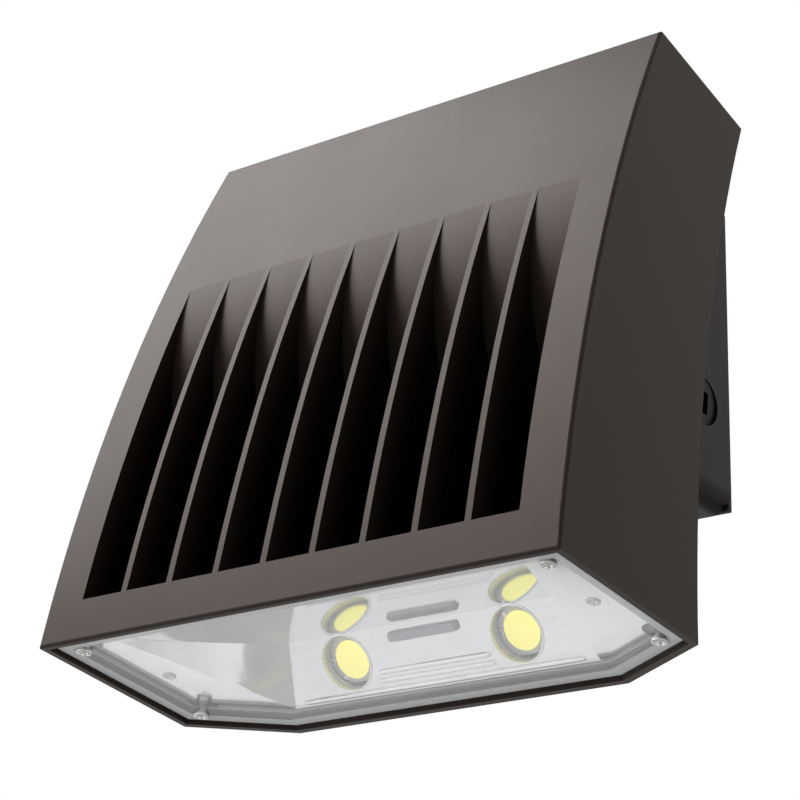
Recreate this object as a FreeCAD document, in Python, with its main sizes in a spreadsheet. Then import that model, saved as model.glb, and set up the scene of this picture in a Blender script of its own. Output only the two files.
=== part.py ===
import FreeCAD, Part
import math
import os

import Sketcher
from FreeCAD import Placement, Rotation, Vector

# A wall pack light: a finned die-cast door hung on a small keystone back box.
# X runs to the right seen from the front, Y runs back to the wall, Z is up, millimetres.
# The origin is on the wall, in the middle of the back box.
#
# The door is drawn in a frame of its own, called the door frame. Its origin is where the
# flat of the underside meets the rear edges of the two sides, and it is turned by lens_tilt,
# because the underside faces slightly forward when the light hangs on a wall.

SIZES = {
    # place of the door frame
    "lens_tilt": 5.0,
    "door_standoff": 70.0,
    "door_top_rise": 92.6,
    # outer form of the door
    "door_width": 254.0,
    "door_top_width": 230.0,
    "door_height": 242.6,
    "door_depth": 86.4,
    "front_lean": 37.6,
    "front_radius": 800.0,
    "top_depth": 59.7,
    "top_fall": 10.5,
    "rear_edge_radius": 654.0,
    "front_edge_radius": 1.2,
    "chamfer_width": 45.2,
    "chamfer_depth": 22.0,
    "rear_step_height": 70.0,
    "skin": 4.0,
    # cooling slots
    "slot_side": 18.9,
    "blade_thick": 2.95,
    "slot_bottom": 18.0,
    "slot_top_margin": 67.6,
    "slot_back": 30.0,
    "slot_floor": 44.0,
    "slot_floor_run": 40.0,
    "scoop_radius": 112.0,
    "scoop_relief": 0.25,
    "pocket_ledge": 1.0,
    # lens and the sunk rim it sits in
    "rim_wall": 3.0,
    "lens_sunk": 2.0,
    "lens_thick": 3.0,
    "lens_gap": 0.3,
    "lens_gasket_thick": 1.5,
    "ledge_width": 7.0,
    "lens_gasket_width": 4.8,
    "lens_screw_inset": 13.5,
    "lens_screw_front": 74.5,
    "lens_screw_rear": 5.0,
    "lens_screw_radius": 2.0,
    "lens_hole_gap": 0.2,
    "lens_screw_head": 3.3,
    "lens_screw_length": 12.0,
    "screw_head_height": 1.6,
    "boss_wall": 3.0,
    # optical chamber and light sources
    "chamber_roof": 32.3,
    "chamber_front": 10.4,
    "chamber_slope": 19.0,
    "led_x": 42.4,
    "led_y": 3.7,
    "led_height": 20.0,
    "led_angle": 43.0,
    "emitter_radius": 8.0,
    "emitter_thick": 0.8,
    "board_width": 28.0,
    "board_height": 20.0,
    "board_thick": 1.2,
    "board_screw_radius": 1.2,
    "board_screw_pitch": 22.0,
    "board_screw_head": 2.16,
    "board_screw_length": 5.0,
    # reflector
    "sheet_thick": 0.8,
    "mouth_front": 74.5,
    "mouth_front_inset": 26.0,
    "mouth_rear": 11.0,
    "mouth_rear_inset": 5.8,
    "ceiling_height": 28.5,
    "ceiling_front": 57.5,
    "ceiling_inset": 9.0,
    "reflector_hole": 11.8,
    "reflector_screw_inset": 22.5,
    "reflector_screw_y": 35.0,
    "reflector_screw_radius": 1.5,
    "reflector_hole_gap": 0.1,
    "reflector_screw_head": 2.8,
    "reflector_screw_head_height": 0.6,
    "notch_radius": 7.0,
    # back box
    "box_half_bottom": 93.7,
    "box_half_top": 84.1,
    "box_top": 68.0,
    "box_bottom": 69.0,
    "box_depth": 36.0,
    "box_wall": 4.0,
    "box_corner": 8.0,
    "wall_gasket_thick": 2.0,
    "wall_gasket_inset": 1.0,
    "lag_x": 60.0,
    "lag_z": 48.0,
    "lag_radius": 3.5,
    "junction_x": 44.45,
    "junction_radius": 2.6,
    "entry_radius": 10.5,
    "entry_height": 27.0,
    "entry_centre": 21.0,
    "entry_boss_wall": 4.0,
    "entry_length": 12.0,
    "plug_gap": 0.05,
    "plug_length": 9.0,
    "plug_sunk": 1.0,
    "plug_socket": 9.5,
    "plug_socket_depth": 6.0,
    "ground_x": 40.0,
    "ground_z": 45.0,
    "ground_radius": 2.5,
    "ground_head": 4.6,
    # joint between door and box
    "seal_gap": 1.0,
    "collar_margin": 2.0,
    "opening_inset": 8.0,
    "seal_inset": 0.5,
    "seal_width": 3.0,
    "seal_groove_depth": 2.0,
    "seal_side_gap": 0.1,
    "bay_floor_drop": 59.0,
    # hinge
    "hinge_rise": 7.5,
    "hinge_depth": 33.0,
    "pin_radius": 2.5,
    "pin_gap": 0.06,
    "pin_spare": 1.2,
    "ear_x": 60.0,
    "ear_width": 8.0,
    "ear_radius": 4.5,
    "lug_width": 9.0,
    "lug_radius": 5.0,
    "lug_gap": 0.4,
    "lug_arm_height": 9.0,
    # captive screws of the door
    "captive_drop": 76.0,
    "captive_radius": 2.5,
    "captive_head_radius": 4.5,
    "captive_head_height": 5.0,
    "captive_gap": 0.1,
    "captive_engaged": 10.0,
    "captive_pad": 8.0,
    "ear_hole_gap": 0.4,
    "captive_way_ledge": 1.6,
    "captive_way_height": 14.0,
    "lower_ear_radius": 7.0,
    "lower_ear_length": 14.0,
    # driver bay contents
    "driver_length": 130.0,
    "driver_height": 48.0,
    "driver_thick": 28.0,
    "driver_lift": 23.0,
    "driver_plane": 52.0,
    "driver_ear": 10.0,
    "driver_ear_thick": 2.0,
    "post_radius": 4.5,
    "post_reach": 24.0,
    "bay_screw_radius": 2.0,
    "bay_screw_head": 3.6,
    "bay_screw_head_height": 2.4,
    "bay_screw_length": 10.0,
    "surge_length": 52.0,
    "surge_height": 20.0,
    "surge_thick": 18.0,
    "surge_plane": 50.0,
    "duct_radius": 4.0,
    "duct_depth": 12.0,
    "lead_spot_x": 8.0,
    "lead_spot_y": 7.5,
    "lead_rise": 2.2,
    "lead_entry": 10.0,
    "lead_radius": 1.1,
    "lead_bend": 2.75,
    "lead_low": 8.0,
    "lead_step": 4.0,
    "lead_reach": 7.0,
    "led_lead_radius": 0.8,
    "led_lead_bend": 1.6,
    "connector_width": 11.0,
    "connector_depth": 18.0,
    "connector_height": 9.0,
    "connector_pitch": 15.0,
}

SLOT_COUNT = 9
SIDES = (("left", -1), ("right", 1))

doc = FreeCAD.newDocument("wall_pack_light")
nodes = []


class Size:
    """A length or angle: its number now, and the formula that gives it from the sheet."""

    def __init__(self, value, formula):
        self.value = value
        self.formula = formula

    def joined(self, other, sign, value):
        return Size(value, "(%s %s %s)" % (self.formula, sign, other.formula))

    def __add__(self, other):
        other = as_size(other)
        return self.joined(other, "+", self.value + other.value)

    def __sub__(self, other):
        other = as_size(other)
        return self.joined(other, "-", self.value - other.value)

    def __mul__(self, other):
        other = as_size(other)
        return self.joined(other, "*", self.value * other.value)

    def __truediv__(self, other):
        other = as_size(other)
        return self.joined(other, "/", self.value / other.value)

    def __radd__(self, other):
        return as_size(other) + self

    def __rsub__(self, other):
        return as_size(other) - self

    def __rmul__(self, other):
        return as_size(other) * self

    def __neg__(self):
        return as_size(0) - self


def as_size(number):
    """A bare number counts as a size of its own."""
    return number if isinstance(number, Size) else Size(float(number), repr(float(number)))


def root(size):
    return Size(math.sqrt(size.value), "sqrt(%s)" % size.formula)


def sine(angle):
    return Size(math.sin(math.radians(angle.value)), "sin(%s)" % angle.formula)


def cosine(angle):
    return Size(math.cos(math.radians(angle.value)), "cos(%s)" % angle.formula)


def fill_sheet():
    """The driving sizes, one row each: the name in A, the number in B."""
    sheet = doc.addObject("Spreadsheet::Sheet", "sizes")
    for row, (name, number) in enumerate(SIZES.items(), start=1):
        sheet.set("A%d" % row, name)
        sheet.set("B%d" % row, str(number))
        sheet.setAlias("B%d" % row, name)
    doc.recompute()
    return {name: Size(float(sheet.get(name)), "sizes." + name) for name in SIZES}


S = fill_sheet()


def bind(item, prop, size):
    item.setExpression(prop, as_size(size).formula)


# ---------------------------------------------------------------- frames and drawing helpers

# the door's lower edge and its bay's floor keep their distance from the door's top
DOOR_DROP = S["door_height"] - S["door_top_rise"]
BAY_FLOOR = DOOR_DROP - S["bay_floor_drop"]

IDENTITY = Placement()
DOOR = Placement(Vector(0, -S["door_standoff"].value, -DOOR_DROP.value),
                 Rotation(Vector(1, 0, 0), -S["lens_tilt"].value))
PLANES = {
    "XY": Rotation(),
    "YZ": Rotation(Vector(1, 1, 1), 120),
    "XZ": Rotation(Vector(1, 0, 0), 90),
}


def on_plane(plane, shift, frame):
    """A sketch's place: its plane in the frame, moved by shift along the plane's normal.
    The normals are +Z for XY, +X for YZ and -Y, to the front, for XZ."""
    turned = Placement(Vector(), PLANES[plane])
    moved = Placement(Vector(0, 0, as_size(shift).value), Rotation())
    return frame.multiply(turned).multiply(moved)


def pin_point(sketch, geometry, position, point):
    """Hold one end of a line or arc, or a circle's centre, at its two sizes."""
    for kind, size in (("DistanceX", point[0]), ("DistanceY", point[1])):
        size = as_size(size)
        rule = Sketcher.Constraint(kind, -1, 1, geometry, position, size.value)
        number = sketch.addConstraint(rule)
        sketch.setExpression("Constraints[%d]" % number, size.formula)


def pin_radius(sketch, geometry, radius):
    number = sketch.addConstraint(Sketcher.Constraint("Radius", geometry, radius.value))
    sketch.setExpression("Constraints[%d]" % number, radius.formula)


def arc_through(start, end, radius, side):
    """The short arc from start to end, bulging to the left (1) or right (-1) of the way."""
    along = end - start
    half = along.Length / 2
    across = Vector(-along.y, along.x, 0).normalize() * side
    rise = radius - math.sqrt(radius ** 2 - half ** 2)
    return Part.Arc(start, (start + end) / 2 + across * rise, end)


def draw_loop(sketch, corners):
    """A closed outline. A corner is (x, y), or (x, y, radius, side) where an arc leaves it."""
    points = [Vector(as_size(c[0]).value, as_size(c[1]).value, 0) for c in corners]
    first = None
    for index, corner in enumerate(corners):
        start, end = points[index], points[(index + 1) % len(points)]
        if len(corner) == 4:
            edge = sketch.addGeometry(arc_through(start, end, corner[2].value, corner[3]), False)
            pin_radius(sketch, edge, corner[2])
            # an arc is stored counterclockwise, so one bulging to the left starts at its end
            ends = (2, 1) if corner[3] == 1 else (1, 2)
        else:
            edge = sketch.addGeometry(Part.LineSegment(start, end), False)
            ends = (1, 2)
        pin_point(sketch, edge, ends[0], corner)
        if first is None:
            first = (edge, ends[0])
        else:
            sketch.addConstraint(Sketcher.Constraint("Coincident", *last, edge, ends[0]))
        last = (edge, ends[1])
    sketch.addConstraint(Sketcher.Constraint("Coincident", *last, *first))


def draw_circle(sketch, centre, radius):
    x, y, radius = as_size(centre[0]), as_size(centre[1]), as_size(radius)
    circle = Part.Circle(Vector(x.value, y.value, 0), Vector(0, 0, 1), radius.value)
    edge = sketch.addGeometry(circle, False)
    pin_point(sketch, edge, 3, (x, y))
    pin_radius(sketch, edge, radius)


def sketch_of(name, plane, loops, circles=(), shift=0, frame=IDENTITY):
    sketch = doc.addObject("Sketcher::SketchObject", name + "_outline")
    sketch.Placement = on_plane(plane, shift, frame)
    for corners in loops:
        draw_loop(sketch, corners)
    for centre, radius in circles:
        draw_circle(sketch, centre, radius)
    return sketch


def prism(name, plane, loops, start, length, circles=(), frame=IDENTITY, way=None):
    """An outline drawn at start along its plane's normal, and extruded by length along it,
    or along way."""
    solid = doc.addObject("Part::Extrusion", name)
    solid.Base = sketch_of(name, plane, loops, circles, start, frame)
    solid.FaceMakerClass = "Part::FaceMakerBullseye"
    solid.Solid = True
    if way is None:
        solid.DirMode = "Normal"
    else:
        solid.DirMode = "Custom"
        solid.Dir = way
    bind(solid, "LengthFwd", length)
    return solid


def plate(name, loops, start, length, circles=(), frame=IDENTITY, plane="XY_Plane"):
    """One flat piece made as a body with a sketch on its own origin plane and a pad."""
    body = doc.addObject("PartDesign::Body", name)
    sketch = body.newObject("Sketcher::SketchObject", name + "_outline")
    base = [f for f in body.Origin.OriginFeatures if f.Role == plane][0]
    sketch.AttachmentSupport = (base, "")
    sketch.MapMode = "FlatFace"
    sketch.AttachmentOffset = Placement(Vector(0, 0, as_size(start).value), Rotation())
    bind(sketch, "AttachmentOffset.Base.z", start)
    for corners in loops:
        draw_loop(sketch, corners)
    for centre, radius in circles:
        draw_circle(sketch, centre, radius)
    pad = body.newObject("PartDesign::Pad", name + "_pad")
    pad.Profile = sketch
    bind(pad, "Length", length)
    body.Tip = pad
    body.Placement = frame
    return body


def cylinder(name, radius, height, base, turn=Rotation(), frame=IDENTITY):
    """A round bar from base, along the turned Z axis."""
    solid = doc.addObject("Part::Cylinder", name)
    bind(solid, "Radius", radius)
    bind(solid, "Height", height)
    start = Vector(*[as_size(c).value for c in base])
    solid.Placement = frame.multiply(Placement(start, turn))
    if frame == IDENTITY:
        for axis, size in zip("xyz", base):
            bind(solid, "Placement.Base." + axis, size)
    return solid


def block(name, lengths, corner, frame=IDENTITY):
    """A box by its three lengths and its lowest corner."""
    solid = doc.addObject("Part::Box", name)
    for prop, size in zip(("Length", "Width", "Height"), lengths):
        bind(solid, prop, size)
    start = Vector(*[as_size(c).value for c in corner])
    solid.Placement = frame.multiply(Placement(start, Rotation()))
    if frame == IDENTITY:
        for axis, size in zip("xyz", corner):
            bind(solid, "Placement.Base." + axis, size)
    return solid


TO_RIGHT = Rotation(Vector(0, 1, 0), 90)
TO_LEFT = Rotation(Vector(0, 1, 0), -90)
TO_FRONT = Rotation(Vector(1, 0, 0), 90)
TO_WALL = Rotation(Vector(1, 0, 0), -90)
UPWARD = Rotation()
DOWNWARD = Rotation(Vector(1, 0, 0), 180)


def joined(name, parts):
    if len(parts) == 1:
        return parts[0]
    solid = doc.addObject("Part::MultiFuse", name)
    solid.Shapes = parts
    solid.Refine = True
    return solid


def shared(name, parts):
    solid = doc.addObject("Part::MultiCommon", name)
    solid.Shapes = parts
    return solid


def cut(name, base, tools):
    solid = doc.addObject("Part::Cut", name)
    solid.Base = base
    solid.Tool = joined(name + "_tools", tools)
    return solid


def rounded(name, base, radius, wanted):
    """The base with each wanted edge rounded."""
    doc.recompute()
    solid = doc.addObject("Part::Fillet", name)
    solid.Base = base
    edges = enumerate(base.Shape.Edges, start=1)
    solid.Edges = [(number, radius.value, radius.value) for number, edge in edges if wanted(edge)]
    return solid


def along(axis):
    """Says whether an edge is straight and runs along the axis."""
    def test(edge):
        if edge.Curve.TypeId != "Part::GeomLine":
            return False
        return abs(edge.Curve.Direction.dot(axis)) > 0.999
    return test


def group(name, parts):
    """Separate solids kept as one node."""
    solid = doc.addObject("Part::Compound", name)
    solid.Links = parts
    return solid


def node(label, item):
    item.Label = label
    nodes.append(item)
    return item


# ---------------------------------------------------------------- sizes worked out from others

HALF_WIDTH = S["door_width"] / 2
BEVEL_LENGTH = root(S["chamfer_width"] * S["chamfer_width"] + S["chamfer_depth"] * S["chamfer_depth"])
BEVEL_X = S["chamfer_depth"] / BEVEL_LENGTH
BEVEL_Y = S["chamfer_width"] / BEVEL_LENGTH
TOP_FRONT_Y = S["front_lean"] - S["door_depth"]
TOP_REAR_Y = TOP_FRONT_Y + S["top_depth"]
TOP_REAR_Z = S["door_height"] - S["top_fall"]

LENS_TOP = S["lens_sunk"] + S["lens_thick"]
LEDGE = LENS_TOP + S["lens_gasket_thick"]
RIM_INNER = S["rim_wall"] + S["ledge_width"]

BOX_RIM = S["wall_gasket_thick"] + S["box_depth"]
COLLAR_PLANE = BOX_RIM + S["seal_gap"]
SLOT_BACK_Y = -S["slot_back"]
SLOT_TOP = S["door_height"] - S["slot_top_margin"]
SLOT_PITCH = (S["door_width"] - S["slot_side"] * 2 + S["blade_thick"]) / SLOT_COUNT
SLOT_WIDTH = SLOT_PITCH - S["blade_thick"]

LENS_SCREW_X = HALF_WIDTH - S["lens_screw_inset"]
REFLECTOR_SCREW_X = HALF_WIDTH - S["reflector_screw_inset"]
MOUTH_FRONT_HALF = HALF_WIDTH - S["mouth_front_inset"]
MOUTH_REAR_HALF = HALF_WIDTH - S["chamfer_width"] - S["mouth_rear_inset"]

HINGE_HEIGHT = S["box_top"] + S["hinge_rise"]
BAY_HEIGHT = S["box_top"] + DOOR_DROP - S["opening_inset"] - BAY_FLOOR
BAY_SPARE = BAY_HEIGHT - S["driver_lift"] - S["driver_height"] - S["surge_height"]
SURGE_LIFT = S["driver_lift"] + S["driver_height"] + BAY_SPARE / 2

# middle of the front face's arc, in the door frame
CHORD_Y = S["front_lean"]
CHORD_Z = S["door_height"]
CHORD = root(CHORD_Y * CHORD_Y + CHORD_Z * CHORD_Z)
FACE_RISE = root(S["front_radius"] * S["front_radius"] - CHORD * CHORD / 4)
FACE_Y = -S["door_depth"] + CHORD_Y / 2 + CHORD_Z / CHORD * FACE_RISE
FACE_Z = CHORD_Z / 2 - CHORD_Y / CHORD * FACE_RISE

# the scoop's arc touches the front face at SLOT_TOP; its middle lies behind that point
SCOOP_SINE = (SLOT_TOP - FACE_Z) / S["front_radius"]
SCOOP_COSINE = root(1 - SCOOP_SINE * SCOOP_SINE)
SCOOP_REACH = S["front_radius"] - S["scoop_radius"] + S["scoop_relief"]
SCOOP_Y = FACE_Y - SCOOP_COSINE * SCOOP_REACH
SCOOP_Z = FACE_Z + SCOOP_SINE * SCOOP_REACH


def narrowed(height):
    """How much of its width at the door's lower edge the front keeps at a height."""
    lost = (S["door_width"] - S["door_top_width"]) / S["door_width"]
    return 1 - height / S["door_height"] * lost


# the captive screws are reached through the middle of the second slot from each side
CAPTIVE_X = SLOT_PITCH * (SLOT_COUNT - 3) / 2 * narrowed(DOOR_DROP - S["captive_drop"])


def face_y(height):
    """Where the front face is at a height in the door frame."""
    rise = height - FACE_Z
    return FACE_Y - root(S["front_radius"] * S["front_radius"] - rise * rise)


def scoop_y(height, radius):
    """Where a circle about the scoop's middle is at a height below that middle."""
    rise = SCOOP_Z - height
    return SCOOP_Y - root(radius * radius - rise * rise)


def six_sides(inset):
    """The underside's outline, moved inwards by inset."""
    side_x = HALF_WIDTH - inset
    side_y = -inset * (1 - BEVEL_X) / BEVEL_Y
    rear_x = HALF_WIDTH - S["chamfer_width"] - inset * (1 - BEVEL_Y) / BEVEL_X
    rear_y = S["chamfer_depth"] - inset
    front_y = inset - S["door_depth"]
    return [(-side_x, front_y), (side_x, front_y), (side_x, side_y),
            (rear_x, rear_y), (-rear_x, rear_y), (-side_x, side_y)]


def box_half(height):
    """Half the keystone's width at a height."""
    slope = (S["box_half_bottom"] - S["box_half_top"]) / (S["box_top"] + S["box_bottom"])
    return S["box_half_bottom"] - (height + S["box_bottom"]) * slope


def keystone(inset):
    """The back box's outline in the wall's plane, moved inwards by inset."""
    low = as_size(inset) - S["box_bottom"]
    high = S["box_top"] - inset
    return [(inset - box_half(low), low), (box_half(low) - inset, low),
            (box_half(high) - inset, high), (inset - box_half(high), high)]


# ---------------------------------------------------------------- back box and what it carries

def entry_side_x():
    return box_half(-S["entry_height"])


def back_box():
    outer = rounded("box_outer", prism("box_block", "XZ", [keystone(0)], S["wall_gasket_thick"],
                                       S["box_depth"]),
                    S["box_corner"], along(Vector(0, 1, 0)))
    inner = rounded("box_inner", prism("box_hollow_block", "XZ", [keystone(S["box_wall"])],
                                       S["wall_gasket_thick"] + S["box_wall"], S["box_depth"]),
                    S["box_corner"] - S["box_wall"], along(Vector(0, 1, 0)))
    shell = cut("box_shell", outer, [inner])
    boss = S["entry_radius"] + S["entry_boss_wall"]
    side_x = entry_side_x()
    bosses = [
        cylinder("boss_right", boss, S["entry_length"],
                 (side_x - S["entry_length"], -S["entry_centre"], -S["entry_height"]), TO_RIGHT),
        cylinder("boss_left", boss, S["entry_length"],
                 (S["entry_length"] - side_x, -S["entry_centre"], -S["entry_height"]), TO_LEFT),
        cylinder("boss_bottom", boss, S["entry_length"],
                 (0, -S["entry_centre"], -S["box_bottom"]), UPWARD),
        cylinder("boss_rear", boss, S["entry_length"], (0, -S["wall_gasket_thick"], 0), TO_FRONT),
    ]
    inside = shared("box_bosses", [joined("bosses", bosses), outer])
    ground_boss = cylinder("ground_boss", S["ground_head"], S["entry_length"],
                           (S["ground_x"], -S["wall_gasket_thick"], -S["ground_z"]), TO_FRONT)
    body = joined("box_body", [shell, inside, ground_boss] + hinge_ears() + lower_ears())
    return node("back_box", cut("box_bored", body, box_holes()))


def hinge_ears():
    """Two ears on top of the box that hold the pins."""
    ears = []
    for side, sign in SIDES:
        start = sign * S["ear_x"] - S["ear_width"] / 2
        ears.append(cylinder("ear_round_" + side, S["ear_radius"], S["ear_width"],
                             (start, -S["hinge_depth"], HINGE_HEIGHT), TO_RIGHT))
        ears.append(block("ear_foot_" + side,
                          (S["ear_width"], S["ear_radius"] * 2,
                           HINGE_HEIGHT - S["box_top"] + S["box_wall"] / 2),
                          (start, -S["hinge_depth"] - S["ear_radius"],
                           S["box_top"] - S["box_wall"] / 2)))
    return ears


def lower_ears():
    """Two threaded ears under the box for the door's captive screws."""
    ears = []
    for side, sign in SIDES:
        x = sign * CAPTIVE_X
        ears.append(cylinder("lower_round_" + side, S["lower_ear_radius"], S["lower_ear_length"],
                             (x, -BOX_RIM, -S["captive_drop"]), TO_WALL))
        ears.append(block("lower_foot_" + side,
                          (S["lower_ear_radius"] * 2, S["lower_ear_length"],
                           S["captive_drop"] - S["box_bottom"] + S["box_wall"] / 2),
                          (x - S["lower_ear_radius"], -BOX_RIM, -S["captive_drop"])))
    return ears


def box_holes():
    deep = S["entry_length"] + S["box_wall"]
    side_x = entry_side_x()
    holes = [
        cylinder("entry_right", S["entry_radius"], deep + 2,
                 (side_x - deep, -S["entry_centre"], -S["entry_height"]), TO_RIGHT),
        cylinder("entry_left", S["entry_radius"], deep + 2,
                 (deep - side_x, -S["entry_centre"], -S["entry_height"]), TO_LEFT),
        cylinder("entry_bottom", S["entry_radius"], deep + 2,
                 (0, -S["entry_centre"], deep - S["box_bottom"]), DOWNWARD),
        cylinder("entry_rear", S["entry_radius"], deep + 2, (0, 0, 0), TO_FRONT),
        cylinder("ground_hole", S["ground_radius"], deep, (S["ground_x"], -S["box_wall"],
                                                           -S["ground_z"]), TO_FRONT),
    ]
    for side, sign in SIDES:
        for height in (-S["lag_z"], S["lag_z"]):
            name = "lag_%s_%s" % (side, "low" if height.value < 0 else "high")
            holes.append(cylinder(name, S["lag_radius"], deep, (sign * S["lag_x"], 0, height),
                                  TO_FRONT))
        holes.append(cylinder("junction_" + side, S["junction_radius"], deep,
                              (sign * S["junction_x"], 0, 0), TO_FRONT))
        start = sign * S["ear_x"] - S["ear_width"] / 2
        holes.append(cylinder("pin_hole_" + side, S["pin_radius"], S["ear_width"],
                              (start, -S["hinge_depth"], HINGE_HEIGHT), TO_RIGHT))
        holes.append(cylinder("captive_hole_" + side, S["captive_radius"] + S["ear_hole_gap"],
                              S["lower_ear_length"],
                              (sign * CAPTIVE_X, -BOX_RIM, -S["captive_drop"]), TO_WALL))
    return holes


def wall_gasket():
    """The flat seal against the wall, open round the supply and the junction box screws."""
    circles = [((0, 0), S["entry_radius"] + S["entry_boss_wall"])]
    for sign in (-1, 1):
        circles.append(((sign * S["junction_x"], 0), S["lag_radius"]))
        for way in (-1, 1):
            circles.append(((sign * S["lag_x"], way * S["lag_z"]), S["lag_radius"]))
    seal = plate("wall_seal", [keystone(S["wall_gasket_inset"])], 0, S["wall_gasket_thick"],
                 circles, plane="XZ_Plane")
    node("wall_gasket", seal)


def conduit_plugs():
    """Three threaded plugs with a square socket. The rear entry stays open."""
    side_x = entry_side_x()
    sunk = S["plug_sunk"] + S["plug_length"]
    places = {
        "right": ((side_x - sunk, -S["entry_centre"], -S["entry_height"]), TO_RIGHT),
        "left": ((sunk - side_x, -S["entry_centre"], -S["entry_height"]), TO_LEFT),
        "bottom": ((0, -S["entry_centre"], sunk - S["box_bottom"]), DOWNWARD),
    }
    for side, (base, turn) in places.items():
        round_part = cylinder("plug_round_" + side, S["entry_radius"] - S["plug_gap"],
                              S["plug_length"], base, turn)
        start = Placement(Vector(*[as_size(c).value for c in base]), turn)
        socket = block("plug_socket_" + side,
                       (S["plug_socket"], S["plug_socket"], S["plug_socket_depth"]),
                       (-S["plug_socket"] / 2, -S["plug_socket"] / 2,
                        S["plug_length"] - S["plug_socket_depth"]), start)
        node("conduit_plug_" + side, cut("plug_" + side, round_part, [socket]))


def hinge_pins():
    """Pins pressed in the ears; both point right, so the open door slides off them."""
    for side, sign in SIDES:
        start = sign * S["ear_x"] - S["ear_width"] / 2
        length = S["ear_width"] + S["lug_gap"] + S["lug_width"] + S["pin_spare"]
        node("hinge_pin_" + side,
             cylinder("pin_" + side, S["pin_radius"], length,
                      (start, -S["hinge_depth"], HINGE_HEIGHT), TO_RIGHT))


def ground_screw():
    seat = S["wall_gasket_thick"] + S["entry_length"]
    base = (S["ground_x"], -seat, -S["ground_z"])
    head = cylinder("ground_screw_head", S["ground_head"], S["bay_screw_head_height"], base,
                    TO_FRONT)
    shank = cylinder("ground_screw_shank", S["ground_radius"], S["entry_length"] - S["box_wall"],
                     base, TO_WALL)
    node("ground_screw", joined("ground", [head, shank]))


# ---------------------------------------------------------------- the finned door casting

def door_outer():
    """The closed outer form: side profile and front view in common, corners bevelled."""
    step = S["rear_step_height"]
    reach = S["door_standoff"]
    slope = S["top_fall"] / S["top_depth"]
    profile = [(-S["door_depth"], 0, S["front_radius"], 1),
               (TOP_FRONT_Y, S["door_height"]),
               (reach, TOP_REAR_Z - (reach - TOP_REAR_Y) * slope),
               (reach, step + reach - S["chamfer_depth"]),
               (S["chamfer_depth"], step),
               (S["chamfer_depth"], 0)]
    side_view = prism("door_side_view", "YZ", [profile], -HALF_WIDTH, S["door_width"], frame=DOOR)
    top_half = S["door_top_width"] / 2
    front = [(-HALF_WIDTH, 0), (HALF_WIDTH, 0), (top_half, S["door_height"]),
             (-top_half, S["door_height"])]
    front_view = prism("door_front_view", "XZ", [front], -reach, reach + S["door_depth"] * 2,
                       frame=DOOR)
    solid = rounded("door_form_rounded", shared("door_form", [side_view, front_view]),
                    S["front_edge_radius"], on_front_edge)
    behind = block("behind_door", (S["door_width"] * 2, S["door_standoff"] * 2,
                                   S["door_height"] * 2),
                   (-S["door_width"], -COLLAR_PLANE, -S["door_height"]))
    return cut("door_bevelled", solid, rear_bevels() + [behind])


def on_front_edge(edge):
    """Says whether an edge lies in the curved front face."""
    to_door = DOOR.inverse()
    ends = (edge.FirstParameter, (edge.FirstParameter + edge.LastParameter) / 2,
            edge.LastParameter)
    points = [to_door.multVec(edge.valueAt(end)) for end in ends]
    reach = S["front_radius"].value
    return all(abs(math.hypot(point.y - FACE_Y.value, point.z - FACE_Z.value) - reach) < 0.1
               for point in points)


def rear_bevels():
    """What lies behind the two slanting rear corners: the region behind the curved rear
    edge of a side, swept inwards and back along the slant."""
    narrowing = (S["door_width"] - S["door_top_width"]) / 2
    top_y = TOP_REAR_Y - narrowing * S["chamfer_depth"] / S["chamfer_width"]
    behind = S["door_standoff"] * 2
    region = [(0, 0, S["rear_edge_radius"], 1), (top_y, TOP_REAR_Z), (behind, TOP_REAR_Z + 40),
              (behind, -40), (0, -40)]
    bevels = []
    for side, sign in SIDES:
        way = DOOR.Rotation.multVec(Vector(-sign * S["chamfer_width"].value,
                                           S["chamfer_depth"].value, 0))
        bevels.append(prism("bevel_" + side, "YZ", [region], sign * HALF_WIDTH,
                            BEVEL_LENGTH * 2, frame=DOOR, way=way.normalize()))
    return bevels


def collar():
    """The wall that meets the back box, standing out of the bevelled form."""
    return prism("collar", "XZ", [keystone(-S["collar_margin"])], COLLAR_PLANE, S["box_depth"])


def driver_bay():
    """The hollow behind the scoops: open to the back box, following scoop and front face."""
    inner_scoop = S["scoop_radius"] - S["skin"]
    inner_face = S["front_radius"] - S["skin"]
    floor = BAY_FLOOR
    touch_y = SCOOP_Y - SCOOP_COSINE * inner_scoop
    touch_z = SCOOP_Z + SCOOP_SINE * inner_scoop
    top = TOP_REAR_Z
    top_rise = top - FACE_Z
    top_y = FACE_Y - root(inner_face * inner_face - top_rise * top_rise)
    reach = S["door_standoff"]
    profile = [(scoop_y(floor, inner_scoop), floor, inner_scoop, 1),
               (touch_y, touch_z),
               (top_y, top), (reach, top), (reach, floor)]
    side_view = prism("bay_side_view", "YZ", [profile], -HALF_WIDTH, S["door_width"], frame=DOOR)
    opening = prism("bay_opening", "XZ", [keystone(S["opening_inset"])], 0,
                    S["door_standoff"] + S["door_depth"])
    return shared("driver_bay", [side_view, opening])


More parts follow.
